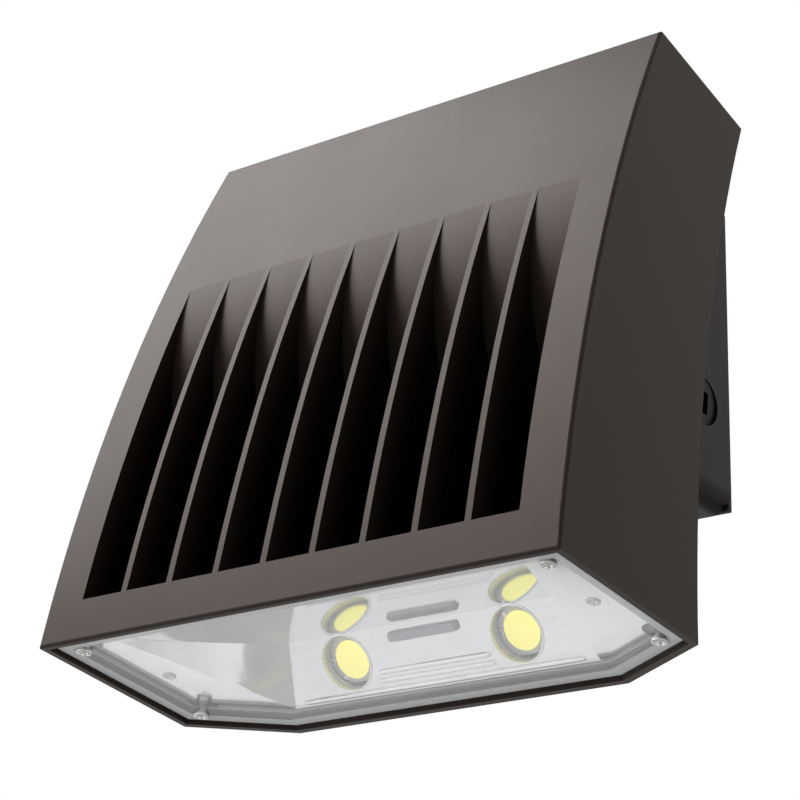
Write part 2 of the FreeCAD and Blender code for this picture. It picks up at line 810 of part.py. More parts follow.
def cooling_slots():
    """Slots in the front face that narrow with it, each with a floor, a back and a scoop on top."""
    outside = -S["door_depth"] - S["skin"]
    arc_end = scoop_height_at_back()
    top_y = SCOOP_Y - SCOOP_COSINE * S["scoop_radius"]
    top_z = SCOOP_Z + SCOOP_SINE * S["scoop_radius"]
    profile = [(outside, S["slot_bottom"]),
               (face_y(S["slot_bottom"]) + 2, S["slot_bottom"]),
               (face_y(S["slot_bottom"]) + S["slot_floor_run"], S["slot_floor"]),
               (SLOT_BACK_Y, S["slot_floor"]),
               (SLOT_BACK_Y, arc_end, S["scoop_radius"], 1),
               (top_y, top_z),
               (outside, top_z)]
    side_view = prism("slot_side_view", "YZ", [profile], -HALF_WIDTH, S["door_width"], frame=DOOR)
    top = S["door_height"]
    fans = []
    for number in range(SLOT_COUNT):
        left = (number - (SLOT_COUNT - 1) / 2) * SLOT_PITCH - SLOT_WIDTH / 2
        right = left + SLOT_WIDTH
        fan = [(left, 0), (right, 0), (right * narrowed(top), top), (left * narrowed(top), top)]
        fans.append(prism("slot_front_view_%d" % (number + 1), "XZ", [fan], 0,
                          S["door_depth"] * 2, frame=DOOR))
    return [shared("slots", [side_view, joined("slot_front_views", fans)])]


def scoop_height_at_back():
    """Where the scoop's circle meets the back of the slots."""
    run = SCOOP_Y - SLOT_BACK_Y
    return SCOOP_Z - root(S["scoop_radius"] * S["scoop_radius"] - run * run)


def led_plane_y(height, offset):
    """Where a plane parallel to the boards is at a height, offset behind the emitters."""
    angle = S["led_angle"]
    return S["led_y"] + (offset - (height - S["led_height"]) * sine(angle)) / cosine(angle)


def led_plane_z(depth, offset):
    angle = S["led_angle"]
    return S["led_height"] + (offset - (depth - S["led_y"]) * cosine(angle)) / sine(angle)


def optical_chamber():
    """The sunk rim, and above its ledge the hollow with the slope that carries the boards."""
    rim = prism("rim_hollow", "XY", [six_sides(S["rim_wall"])], -1, LEDGE + 1, frame=DOOR)
    mount = S["emitter_thick"] + S["board_thick"]
    rear = S["chamfer_depth"] - RIM_INNER
    front = S["chamber_front"] - S["door_depth"]
    roof = S["chamber_roof"]
    profile = [(front, LEDGE - 1), (front, LEDGE), (front + S["chamber_slope"], roof),
               (led_plane_y(roof, mount), roof), (rear, led_plane_z(rear, mount)),
               (rear, LEDGE - 1)]
    side_view = prism("chamber_side_view", "YZ", [profile], -HALF_WIDTH, S["door_width"],
                      frame=DOOR)
    plan = prism("chamber_plan", "XY", [six_sides(RIM_INNER)], 0, roof + 1, frame=DOOR)
    return [rim, shared("chamber", [side_view, plan])]


def lens_screw_places():
    return [(sign * LENS_SCREW_X, -depth)
            for sign in (-1, 1) for depth in (S["lens_screw_front"], S["lens_screw_rear"])]


def reflector_screw_places():
    return [(sign * REFLECTOR_SCREW_X, -S["reflector_screw_y"]) for sign in (-1, 1)]


def chamber_bosses():
    """Round bosses that the lens screws and the reflector screws go into."""
    bosses = []
    height = S["chamber_roof"] - LEDGE + 1
    for number, (x, y) in enumerate(lens_screw_places()):
        bosses.append(cylinder("lens_boss_%d" % number, S["lens_screw_radius"] + S["boss_wall"],
                               height, (x, y, LEDGE), UPWARD, DOOR))
    for number, (x, y) in enumerate(reflector_screw_places()):
        bosses.append(cylinder("reflector_boss_%d" % number,
                               S["reflector_screw_radius"] + S["boss_wall"],
                               height, (x, y, LEDGE), UPWARD, DOOR))
    return bosses


def board_screw_places():
    """In the plane of a board, from its middle."""
    return [(way * S["board_screw_pitch"] / 2, 0) for way in (-1, 1)]


def led_frame(sign):
    """Stands in the middle of an emitter's face, Z pointing forward and down into the light."""
    place = Placement(Vector(sign * S["led_x"].value, S["led_y"].value, S["led_height"].value),
                      Rotation(Vector(1, 0, 0), 90 + S["led_angle"].value))
    return DOOR.multiply(place)


def chamber_holes():
    """Screw holes of lens, reflector and boards, and the duct for the leads."""
    holes = []
    for number, (x, y) in enumerate(lens_screw_places()):
        holes.append(cylinder("lens_hole_%d" % number, S["lens_screw_radius"],
                              S["lens_screw_length"], (x, y, LEDGE), UPWARD, DOOR))
    for number, (x, y) in enumerate(reflector_screw_places()):
        holes.append(cylinder("reflector_hole_%d" % number, S["reflector_screw_radius"],
                              S["lens_screw_length"], (x, y, LEDGE), UPWARD, DOOR))
    behind = S["emitter_thick"] + S["board_thick"]
    for side, sign in SIDES:
        for number, (x, y) in enumerate(board_screw_places()):
            holes.append(cylinder("board_hole_%s_%d" % (side, number), S["board_screw_radius"],
                                  S["bay_screw_length"], (x, y, -behind), DOWNWARD,
                                  led_frame(sign)))
    holes.append(cylinder("lead_duct", S["duct_radius"], BAY_FLOOR - S["chamber_roof"] + 4,
                          (0, -S["duct_depth"], S["chamber_roof"] - 2), UPWARD, DOOR))
    return holes


def rear_pockets():
    """Cored pockets behind the boards and beside the collar, which leave ribs."""
    pockets = []
    low = S["slot_floor"] + S["skin"]
    height = S["rear_step_height"] - low + S["skin"]
    start = SLOT_BACK_Y + S["skin"]
    ledge = S["pocket_ledge"]
    for number in (-2, -1, 1, 2):
        middle = number * SLOT_PITCH
        pockets.append(block("lower_pocket_%d" % (number + 2),
                             (SLOT_WIDTH - ledge * 2, S["door_standoff"], height),
                             (middle - SLOT_WIDTH / 2 + ledge, start, low), DOOR))
    return pockets


def seal_groove():
    inset = S["seal_inset"] - S["seal_side_gap"]
    inner = S["seal_inset"] + S["seal_width"] + S["seal_side_gap"]
    return prism("seal_groove", "XZ", [keystone(inset), keystone(inner)], COLLAR_PLANE,
                 S["seal_groove_depth"])


def hinge_lugs():
    """Two lugs on the door beside the ears, on the side the pins point to."""
    lugs = []
    for side, sign in SIDES:
        start = sign * S["ear_x"] + S["ear_width"] / 2 + S["lug_gap"]
        lugs.append(cylinder("lug_round_" + side, S["lug_radius"], S["lug_width"],
                             (start, -S["hinge_depth"], HINGE_HEIGHT), TO_RIGHT))
        lugs.append(block("lug_arm_" + side,
                          (S["lug_width"], COLLAR_PLANE - S["hinge_depth"] + S["lug_radius"],
                           S["lug_arm_height"]),
                          (start, -COLLAR_PLANE - S["lug_radius"],
                           HINGE_HEIGHT - S["lug_arm_height"] / 2)))
    return lugs


def captive_start():
    """How far in front of the wall the captive screws' heads sit, on the slots' backs."""
    height = DOOR_DROP - S["captive_drop"]
    tilt = S["lens_tilt"]
    return S["door_standoff"] - (SLOT_BACK_Y + sine(tilt) * height) / cosine(tilt)


def door_holes():
    """Bores for the hinge pins and the captive screws."""
    holes = []
    for side, sign in SIDES:
        start = sign * S["ear_x"] + S["ear_width"] / 2
        holes.append(cylinder("lug_bore_" + side, S["pin_radius"] + S["pin_gap"],
                              S["lug_width"] + S["lug_gap"] * 2,
                              (start, -S["hinge_depth"], HINGE_HEIGHT), TO_RIGHT))
        holes.append(cylinder("captive_bore_" + side, S["captive_radius"] + S["captive_gap"],
                              S["door_standoff"] + S["door_depth"] - COLLAR_PLANE,
                              (sign * CAPTIVE_X, -COLLAR_PLANE, -S["captive_drop"]),
                              TO_FRONT))
        holes.append(captive_way(side, sign))
    return holes


def captive_way(side, sign):
    """The recess in the scoop that lets a screwdriver reach a captive screw."""
    height = S["captive_way_height"]
    top = DOOR_DROP - S["captive_drop"] + height / 2
    width = SLOT_WIDTH * narrowed(top) - S["captive_way_ledge"] * 2
    return block("captive_way_" + side, (width, S["door_depth"], height),
                 (sign * CAPTIVE_X - width / 2, -captive_start() - S["door_depth"],
                  -S["captive_drop"] - height / 2))


def captive_pads():
    return [cylinder("captive_pad_" + side, S["captive_pad"], S["box_depth"],
                     (sign * CAPTIVE_X, -COLLAR_PLANE, -S["captive_drop"]), TO_FRONT)
            for side, sign in SIDES]


def bay_posts():
    """Posts in the driver bay: four for the driver, two for the surge module."""
    posts = []
    for name, x, z, plane in post_places():
        posts.append(cylinder("post_" + name, S["post_radius"], S["post_reach"],
                              (x, -plane, z), TO_FRONT, DOOR))
    return posts


def post_places():
    """Each post's name, its x and z in the door frame, and the plane that it ends in."""
    places = []
    driver_middle = BAY_FLOOR + S["driver_lift"] + S["driver_height"] / 2
    surge_middle = BAY_FLOOR + SURGE_LIFT + S["surge_height"] / 2
    for side, sign in SIDES:
        x = sign * (S["driver_length"] + S["driver_ear"]) / 2
        for level, way in (("low", -1), ("high", 1)):
            places.append(("driver_%s_%s" % (side, level), x,
                           driver_middle + way * S["driver_height"] / 4, S["driver_plane"]))
        places.append(("surge_" + side, sign * (S["surge_length"] + S["driver_ear"]) / 2,
                       surge_middle, S["surge_plane"]))
    return places


def post_holes():
    return [cylinder("post_hole_" + name, S["bay_screw_radius"], S["bay_screw_length"],
                     (x, -plane, z), TO_FRONT, DOOR)
            for name, x, z, plane in post_places()]


def door_housing():
    """The one-piece die-cast door."""
    form = joined("door_with_collar", [door_outer(), collar()])
    bay = cut("door_with_bay", form, [driver_bay()])
    posts = shared("bay_posts", [joined("posts", bay_posts()), form])
    raised = joined("door_raised", [bay, posts] + hinge_lugs() + captive_pads())
    slotted = cut("door_slotted", raised, cooling_slots())
    hollowed = cut("door_hollowed", slotted, optical_chamber() + rear_pockets())
    bossed = joined("door_bossed", [hollowed] + chamber_bosses())
    holes = chamber_holes() + door_holes() + post_holes() + [seal_groove()]
    return node("door_housing", cut("door_bored", bossed, holes))


# ---------------------------------------------------------------- pieces carried by the door

def lens():
    inset = S["rim_wall"] + S["lens_gap"]
    circles = [(place, S["lens_screw_radius"] + S["lens_hole_gap"])
               for place in lens_screw_places()]
    node("lens", plate("lens_plate", [six_sides(inset)], S["lens_sunk"], S["lens_thick"],
                       circles, DOOR))


def lens_gasket():
    outer = S["rim_wall"] + S["lens_gap"] * 2
    inner = outer + S["lens_gasket_width"]
    node("lens_gasket", plate("lens_seal", [six_sides(outer), six_sides(inner)], LENS_TOP,
                              S["lens_gasket_thick"], (), DOOR))


def machine_screw(name, place, radius, head, head_height, length, seat, frame, turn=UPWARD):
    """A screw: the shank along the turned Z axis from its seat, the head the other way."""
    x, y = place
    back = DOWNWARD if turn == UPWARD else UPWARD
    return joined(name, [
        cylinder(name + "_shank", radius, length, (x, y, seat), turn, frame),
        cylinder(name + "_head", head, head_height, (x, y, seat), back, frame),
    ])


def lens_screws():
    reach = LEDGE - S["lens_sunk"] + S["lens_screw_length"] - 1
    screws = [machine_screw("lens_screw_%d" % number, place, S["lens_screw_radius"],
                            S["lens_screw_head"], S["screw_head_height"], reach,
                            S["lens_sunk"], DOOR)
              for number, place in enumerate(lens_screw_places())]
    node("lens_screws", group("lens_screw_set", screws))


def tray_outline(half_front, front, half_rear, rear):
    return [(-half_front, front), (half_front, front), (half_rear, rear), (-half_rear, rear)]


def tray(name, grown):
    """The reflector's hollow as a loft from mouth to ceiling, grown by a thickness."""
    mouth = tray_outline(MOUTH_FRONT_HALF + grown, -S["mouth_front"] - grown,
                         MOUTH_REAR_HALF + grown, S["mouth_rear"] + grown)
    standoff = reflector_standoff()
    ceiling_rear = led_plane_y(S["ceiling_height"], standoff)
    inset = S["ceiling_inset"]
    ceiling = tray_outline(MOUTH_FRONT_HALF - inset + grown, -S["ceiling_front"] - grown,
                           MOUTH_REAR_HALF - inset + grown, ceiling_rear + grown)
    solid = doc.addObject("Part::Loft", name)
    solid.Sections = [
        sketch_of(name + "_mouth", "XY", [mouth], (), flange_level(), DOOR),
        sketch_of(name + "_ceiling", "XY", [ceiling], (), S["ceiling_height"] + grown, DOOR),
    ]
    solid.Solid = True
    solid.Ruled = True
    return solid


def flange_level():
    return LEDGE - S["sheet_thick"]


def reflector_standoff():
    """How far behind the emitters' plane the rear wall lies; below zero is in front."""
    angle = S["led_angle"]
    return ((S["mouth_rear"] - S["led_y"]) * cosine(angle)
            + (flange_level() - S["led_height"]) * sine(angle))


def reflector():
    """A formed bright tray: sloping walls, ceiling, flat flange and two round openings."""
    flange_outer = six_sides(RIM_INNER + S["lens_gap"])
    mouth = tray_outline(MOUTH_FRONT_HALF, -S["mouth_front"], MOUTH_REAR_HALF,
                         S["mouth_rear"])
    circles = [(place, S["reflector_screw_radius"] + S["reflector_hole_gap"])
               for place in reflector_screw_places()]
    flange = prism("reflector_flange", "XY", [flange_outer, mouth], flange_level(),
                   S["sheet_thick"], circles, DOOR)
    shell = cut("reflector_shell", tray("tray_outer", S["sheet_thick"]), [tray("tray_inner", 0)])
    holes = [cylinder("source_opening_" + side, S["reflector_hole"], S["chamber_roof"],
                      (0, 0, -S["board_thick"]), UPWARD, led_frame(sign))
             for side, sign in SIDES]
    rear_half = [opening_limit(side, sign) for side, sign in SIDES]
    openings = [shared("opening_" + side, [hole, limit])
                for (side, _), hole, limit in zip(SIDES, holes, rear_half)]
    notches = [cylinder("notch_%d" % number, S["notch_radius"], S["sheet_thick"] * 3,
                        (x, y, flange_level() - S["sheet_thick"]), UPWARD, DOOR)
               for number, (x, y) in enumerate(lens_screw_places())]
    node("reflector", cut("reflector_tray", joined("reflector_blank", [flange, shell]),
                          openings + notches))


def opening_limit(side, sign):
    """Keeps an opening's cutter to the rear wall, short of the ceiling and the front."""
    reach = S["reflector_hole"] * 2
    return cylinder("opening_limit_" + side, reach, S["led_height"] / 4 + S["sheet_thick"] * 2,
                    (0, 0, 0), UPWARD, led_frame(sign))


def reflector_screws():
    screws = [machine_screw("reflector_screw_%d" % number, place, S["reflector_screw_radius"],
                            S["reflector_screw_head"], S["reflector_screw_head_height"],
                            S["bay_screw_length"], flange_level(), DOOR)
              for number, place in enumerate(reflector_screw_places())]
    node("reflector_screws", group("reflector_screw_set", screws))


def light_sources():
    """On each side a pale board clamped to the slope, and a round emitter on it."""
    screws = []
    for side, sign in SIDES:
        frame = led_frame(sign)
        behind = S["emitter_thick"] + S["board_thick"]
        half_width = S["board_width"] / 2
        half_height = S["board_height"] / 2
        outline = [(-half_width, -half_height), (half_width, -half_height),
                   (half_width, half_height), (-half_width, half_height)]
        circles = [(place, S["board_screw_radius"]) for place in board_screw_places()]
        node("led_board_" + side, plate("board_" + side, [outline], -behind, S["board_thick"],
                                        circles, frame))
        node("led_emitter_" + side, cylinder("emitter_" + side, S["emitter_radius"],
                                             S["emitter_thick"],
                                             (0, 0, -S["emitter_thick"]), UPWARD, frame))
        for number, place in enumerate(board_screw_places()):
            screws.append(machine_screw("board_screw_%s_%d" % (side, number), place,
                                        S["board_screw_radius"], S["board_screw_head"],
                                        S["emitter_thick"], S["board_screw_length"],
                                        -S["emitter_thick"], frame, DOWNWARD))
    node("led_screws", group("led_screw_set", screws))


def door_gasket():
    """The one-piece silicone seal, from its groove in the collar to the box's rim."""
    inner = S["seal_inset"] + S["seal_width"]
    node("door_gasket", plate("door_seal", [keystone(S["seal_inset"]), keystone(inner)], BOX_RIM,
                              S["seal_gap"] + S["seal_groove_depth"], plane="XZ_Plane"))


def captive_screws():
    """Long screws through two slots' backs; each reaches into its ear under the box."""
    for side, sign in SIDES:
        start = captive_start()
        length = start - BOX_RIM + S["captive_engaged"]
        base = (sign * CAPTIVE_X, -start, -S["captive_drop"])
        shank = cylinder("captive_shank_" + side, S["captive_radius"], length, base, TO_WALL)
        head = cylinder("captive_head_" + side, S["captive_head_radius"],
                        S["captive_head_height"], base, TO_FRONT)
        node("captive_screw_" + side, joined("captive_" + side, [shank, head]))


def boxed_unit(label, length, height, thick, lift, plane):
    """A closed metal case with an ear at each end, its back on the posts' ends."""
    low = BAY_FLOOR + lift
    case = block(label + "_case", (length, thick, height), (-length / 2, -plane, low), DOOR)
    ears = block(label + "_ears", (length + S["driver_ear"] * 2, S["driver_ear_thick"], height),
                 (-length / 2 - S["driver_ear"], -plane, low), DOOR)
    return joined(label + "_unit", [case, ears])


def bay_units():
    """Driver and surge module on their posts, with their screws."""
    units = {
        "driver": boxed_unit("driver", S["driver_length"], S["driver_height"],
                             S["driver_thick"], S["driver_lift"], S["driver_plane"]),
        "surge": boxed_unit("surge", S["surge_length"], S["surge_height"], S["surge_thick"],
                            SURGE_LIFT, S["surge_plane"]),
    }
    screws = {"driver": [], "surge": []}
    holes = {"driver": [], "surge": []}
    for name, x, z, plane in post_places():
        unit = name.split("_")[0]
        seat = S["driver_ear_thick"] - plane
        holes[unit].append(cylinder("ear_hole_" + name, S["bay_screw_radius"],
                                    S["driver_ear_thick"], (x, seat, z), TO_FRONT, DOOR))
        shank = cylinder("shank_" + name, S["bay_screw_radius"], S["bay_screw_length"],
                         (x, seat, z), TO_FRONT, DOOR)
        head = cylinder("head_" + name, S["bay_screw_head"], S["bay_screw_head_height"],
                        (x, seat, z), TO_WALL, DOOR)
        screws[unit].append(joined("screw_" + name, [shank, head]))
    node("driver", cut("driver_bored", units["driver"], holes["driver"]))
    node("driver_screws", group("driver_screw_set", screws["driver"]))
    node("surge_module", cut("surge_bored", units["surge"], holes["surge"]))
    node("surge_screws", group("surge_screw_set", screws["surge"]))


def tube(name, points, bend, radius, frame):
    """A lead as one round tube: straight runs joined by arcs of the bend's radius."""
    edges = []
    start = points[0]
    for before, corner, after in zip(points, points[1:], points[2:]):
        arrive = (corner - before).normalize()
        leave = (after - corner).normalize()
        turn = arrive.getAngle(leave)
        setback = bend * math.tan(turn / 2)
        inward = corner - arrive * setback
        outward = corner + leave * setback
        bisector = (leave - arrive).normalize()
        middle = corner + bisector * (bend / math.cos(turn / 2) - bend)
        edges.append(Part.LineSegment(start, inward).toShape())
        edges.append(Part.Arc(inward, middle, outward).toShape())
        start = outward
    edges.append(Part.LineSegment(start, points[-1]).toShape())
    path = Part.Wire(edges)
    ring = Part.Wire([Part.makeCircle(radius, points[0], points[1] - points[0])])
    item = doc.addObject("Part::Feature", name)
    item.Shape = path.makePipeShell([ring], True, False)
    item.Placement = frame
    return item


def driver_leads():
    """Three leads from the driver's end to the push-in connectors on the bay's floor."""
    floor = BAY_FLOOR.value
    low = floor + S["driver_lift"].value
    radius = S["lead_radius"].value
    end_x = -S["driver_length"].value / 2
    top = floor + S["connector_height"].value / 2
    plane = -S["driver_plane"].value + S["driver_thick"].value
    depth = plane + S["connector_depth"].value
    reach = S["lead_reach"].value
    names = ("line", "neutral", "ground")
    connectors = []
    for number, name in enumerate(names):
        x = end_x + S["driver_ear"].value * 2 + number * S["connector_pitch"].value
        rise = low + S["lead_low"].value + number * S["lead_step"].value
        points = [Vector(x, plane, rise), Vector(x, plane + reach, rise),
                  Vector(x, plane + reach, top), Vector(x, depth, top)]
        lead = tube("lead_" + name, points, S["lead_bend"].value, radius, DOOR)
        node("driver_lead_" + name, lead)
        corner = (x - S["connector_width"] / 2, depth, BAY_FLOOR)
        connectors.append(block("connector_" + name,
                                (S["connector_width"], S["connector_depth"],
                                 S["connector_height"]), corner, DOOR))
    node("wire_connectors", group("connector_set", connectors))


def board_point(sign, across, up, out):
    """A point in the door's frame from one in a board's: out is in front of the emitter."""
    slope = math.radians(S["led_angle"].value)
    return Vector(sign * (S["led_x"].value - across),
                  S["led_y"].value - up * math.sin(slope) - out * math.cos(slope),
                  S["led_height"].value + up * math.cos(slope) - out * math.sin(slope))


def led_leads():
    """Two leads from the boards' faces through the cast duct into the driver's back."""
    radius = S["led_lead_radius"].value
    face = -S["emitter_thick"].value
    out = face + S["lead_rise"].value
    level = (S["ceiling_height"].value + S["sheet_thick"].value + S["chamber_roof"].value) / 2
    spot_x = S["lead_spot_x"].value
    spot_y = S["lead_spot_y"].value
    duct_y = -S["duct_depth"].value
    entry = BAY_FLOOR.value + S["driver_lift"].value + S["lead_entry"].value
    driver_back = S["driver_thick"].value - S["driver_plane"].value
    leads = []
    for side, sign in SIDES:
        x = sign * S["duct_radius"].value / 2
        turned_up = board_point(sign, spot_x, spot_y, out)
        slope = math.radians(S["led_angle"].value)
        reach = spot_y + (level - turned_up.z) / math.cos(slope)
        points = [board_point(sign, spot_x, spot_y, face), turned_up,
                  board_point(sign, spot_x, reach, out), Vector(x, duct_y, level),
                  Vector(x, duct_y, entry), Vector(x, driver_back, entry)]
        leads.append(tube("led_lead_" + side, points, S["led_lead_bend"].value, radius, DOOR))
    node("led_leads", group("led_lead_pair", leads))


# ---------------------------------------------------------------- build, check and write

def build_all():
    back_box()
    wall_gasket()
    conduit_plugs()
    hinge_pins()
    ground_screw()
    door_housing()
    lens()
    lens_gasket()
    lens_screws()
    reflector()
    reflector_screws()
    light_sources()
    door_gasket()
    captive_screws()
    bay_units()
    driver_leads()
    led_leads()


def check(item):
    """Stops the build where a sub-part failed, is empty or is not a sound solid."""
    shape = item.Shape
    if shape.isNull() or not shape.isValid() or not shape.Solids:
        raise RuntimeError("unsound shape: " + item.Label)


def write_all():
    doc.recompute()
    for item in doc.Objects:
        if "Invalid" in item.State or "Error" in item.State:
            raise RuntimeError("failed object: " + item.Name)
    os.makedirs("parts", exist_ok=True)
    for item in nodes:
        check(item)
    for item in nodes:
        item.Shape.exportStep("parts/%s.step" % item.Label)
        print("%-24s solids %2d  volume %12.1f" % (item.Label, len(item.Shape.Solids),
                                                   item.Shape.Volume))


build_all()
write_all()
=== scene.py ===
import math

import bmesh
import bpy
import numpy as np
from bpy.props import FloatProperty, FloatVectorProperty, PointerProperty
from mathutils import Matrix, Vector


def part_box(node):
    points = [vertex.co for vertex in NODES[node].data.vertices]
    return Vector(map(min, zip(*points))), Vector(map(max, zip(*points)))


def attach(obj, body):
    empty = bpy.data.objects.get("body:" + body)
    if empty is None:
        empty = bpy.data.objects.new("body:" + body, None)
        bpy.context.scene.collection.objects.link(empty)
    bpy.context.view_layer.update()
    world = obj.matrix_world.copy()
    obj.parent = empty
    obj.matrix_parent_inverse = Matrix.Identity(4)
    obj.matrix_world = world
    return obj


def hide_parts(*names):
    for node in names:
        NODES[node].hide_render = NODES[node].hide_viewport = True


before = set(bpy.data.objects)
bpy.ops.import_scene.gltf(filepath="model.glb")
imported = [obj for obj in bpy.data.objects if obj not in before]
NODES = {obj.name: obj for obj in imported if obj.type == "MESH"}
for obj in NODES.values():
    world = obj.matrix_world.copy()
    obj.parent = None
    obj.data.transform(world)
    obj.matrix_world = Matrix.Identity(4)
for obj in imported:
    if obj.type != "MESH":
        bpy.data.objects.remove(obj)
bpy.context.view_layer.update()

bl_info = {
    "name": "Wall pack light dressing",
    "version": (1, 0, 0),
    "blender": (4, 5, 0),
    "location": "3D View > Sidebar > Wall pack",
    "description": "Finishes and fine pieces around the solids of a finned wall pack light",
    "category": "Object",
}

MM = 0.001

# Points closer than this are joined, and edges sharper than this stay sharp.
WELD = 1e-6
SHARP_ANGLE = math.radians(32)

# The door leans on the box: its own frame stands at this place, turned about X by this angle.
DOOR_BASE = np.array([0.0, -70.0, -150.0])
DOOR_TILT = math.radians(-5.0)

# The front face is an arc about X: its radius, and its middle's Y and Z, in metres.
FACE_RADIUS = 0.8
FACE_MIDDLE = (0.64090, -0.21197)

# The cooling slots in metres: the depths over which painted shade darkens the blades' sides and
# the scoops, half of their width together, and the heights between which the painted shade sets
# in at their foot.
BLADE_SHADE = (0.0005, 0.012)
SCOOP_SHADE = (0.024, 0.044)
SLOTS_HALF_WIDTH = 0.1115
SLOTS_FOOT = (-0.134, -0.128)

# The middle of the right emitter's face in the door's frame, how steep its board stands, and
# how far in front of it the reflector's rear wall lies.
EMITTER_PLACE = np.array([42.4, 3.7, 20.0])
BOARD_SLOPE = math.radians(43.0)
REAR_WALL = 4.4


# ---------------------------------------------------------------- forms

def from_door(points):
    """Millimetres in the door's own frame to metres in the model's."""
    c, s = math.cos(DOOR_TILT), math.sin(DOOR_TILT)
    turn = np.array([[1, 0, 0], [0, c, s], [0, -s, c]])
    return (np.asarray(points, float) @ turn + DOOR_BASE) * MM


def from_board(points, sign):
    """Millimetres across, up and out from an emitter's face to metres in the model's frame."""
    c, s = math.cos(BOARD_SLOPE), math.sin(BOARD_SLOPE)
    axes = np.array([[1, 0, 0], [0, -s, c], [0, -c, -s]])
    return from_door(np.asarray(points, float) @ axes + EMITTER_PLACE * (sign, 1, 1))


def standing(points, base, up, across=(1, 0, 0)):
    """Points turned so that their Z runs along up and their X along across, set on a base."""
    axes = np.array([across, np.cross(up, across), up], float)
    return np.asarray(points, float) @ axes + base


def eased(corners, steps=5):
    """A line through (x, y, ease) corners. A corner P with an ease is replaced by the curve
    (1 - t)^2 A + 2 t (1 - t) P + t^2 B between points A and B that far along its two sides."""
    places = np.array([corner[:2] for corner in corners], float)
    t = np.linspace(0, 1, steps + 1)[:, None]
    line = [places[:1]]
    for number in range(1, len(corners) - 1):
        before, place, after = places[number - 1:number + 2]
        ease = corners[number][2]
        start = place + (before - place) / np.linalg.norm(before - place) * ease
        end = place + (after - place) / np.linalg.norm(after - place) * ease
        curve = (1 - t) ** 2 * start + 2 * t * (1 - t) * place + t ** 2 * end
        line.append(curve if ease else place[None])
    line.append(places[-1:])
    return np.concatenate(line)


def lathe(profile, turns=64):
    """(r cos t, r sin t, z) for each (r, z) of the profile, t over a whole turn."""
    turn = np.linspace(0, 2 * np.pi, turns, endpoint=False)
    radius, height = np.asarray(profile, float).T
    return np.stack([np.outer(radius, np.cos(turn)), np.outer(radius, np.sin(turn)),
                     np.repeat(height[:, None], turns, 1)], -1)


def slab(half_width, half_height, profile, power=14.0, turns=96):
    """Rings of a superellipse, |x / a|^n + |y / b|^n = 1, with a and b less the inset of each
    (inset, z) of the profile: a block with rounded corners and eased edges."""
    turn = np.linspace(0, 2 * np.pi, turns, endpoint=False) + np.pi / turns
    inset, height = np.asarray(profile, float).T
    x = np.sign(np.cos(turn)) * np.abs(np.cos(turn)) ** (2 / power)
    y = np.sign(np.sin(turn)) * np.abs(np.sin(turn)) ** (2 / power)
    shrunk_x = np.maximum(half_width - inset, 0)
    shrunk_y = np.maximum(half_height - inset, 0)
    return np.stack([np.outer(shrunk_x, x), np.outer(shrunk_y, y),
                     np.repeat(height[:, None], turns, 1)], -1)


def soft_step(distance, width):
    """(1 + tanh(d / w)) / 2: one inside, none outside, over about a width."""
    return (1 + np.tanh(distance / width)) / 2


def cross_recess(x, y, size):
    """Two crossed bars, each soft_step(w - |x|) soft_step(l - |y|)."""
    bar, arm, soft = size * 0.16, size * 0.62, size * 0.04
    first = soft_step(bar - abs(x), soft) * soft_step(arm - abs(y), soft)
    second = soft_step(bar - abs(y), soft) * soft_step(arm - abs(x), soft)
    return np.maximum(first, second)


def six_recess(x, y, size):
    """A hexagon: soft_step(a - max of |x cos u + y sin u| over three directions u)."""
    ways = np.radians([0, 60, 120])
    reach = np.max([abs(x * math.cos(u) + y * math.sin(u)) for u in ways], 0)
    return soft_step(size * 0.5 - reach, size * 0.03)


def headed(head, height, shank, length, recess, depth, dome=0.25):
    """A screw about Z with its head above zero: a lathe form whose top is
    z = h (1 - dome (r / R)^4) - depth * recess(x, y)."""
    across = np.linspace(0, head * 0.94, 26)
    crown = height * (1 - dome * (across / head) ** 4)
    ease = min(0.3, height * 0.25)
    side = eased([(across[-1], crown[-1], 0), (head, crown[-1] - ease, ease * 0.7),
                  (head, 0, ease * 0.5), (shank, 0, 0.1), (shank, -length + 0.6, 0.2),
                  (shank - 0.5, -length, 0.2), (0, -length, 0)], 4)
    points = lathe(np.concatenate([np.stack([across, crown], 1), side[1:]]), 72)
    top = points[:len(across)]
    top[..., 2] -= depth * recess(top[..., 0], top[..., 1], head)
    return points


class Piece:
    """A new piece: sheets of points in the model's frame, joined into one mesh."""

    def __init__(self, name):
        self.name = name
        self.points, self.faces, self.slots = [], [], []
        self.count = 0

    def sheet(self, points, slot=0):
        """Quads of a rows x turns grid whose last column meets its first."""
        rows, turns = points.shape[:2]
        index = np.arange(rows * turns).reshape(rows, turns) + self.count
        after = np.roll(index, -1, 1)
        quads = np.stack([index[:-1], index[1:], after[1:], after[:-1]], -1).reshape(-1, 4)
        self.points.append(points.reshape(-1, 3))
        self.faces.append(quads)
        self.slots.append(np.full(len(quads), slot))
        self.count += rows * turns
        return self

    def place(self, body, *materials, stands_for=()):
        """Makes the object, with every normal outwards, and lets it ride on its body."""
        mesh = bpy.data.meshes.new(self.name)
        mesh.from_pydata(np.concatenate(self.points).tolist(), [],
                         np.concatenate(self.faces).tolist())
        mesh.polygons.foreach_set("material_index", np.concatenate(self.slots).astype(np.int32))
        form = bmesh.new()
        form.from_mesh(mesh)
        bmesh.ops.remove_doubles(form, verts=form.verts, dist=WELD)
        bmesh.ops.recalc_face_normals(form, faces=form.faces)
        form.to_mesh(mesh)
        form.free()
        mesh.shade_smooth()
        mesh.set_sharp_from_angle(angle=SHARP_ANGLE)
        for material in materials:
            mesh.materials.append(material)
        item = bpy.data.objects.new(self.name, mesh)
        bpy.context.collection.objects.link(item)
        if stands_for:
            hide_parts(*stands_for)
        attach(item, body)
        return item


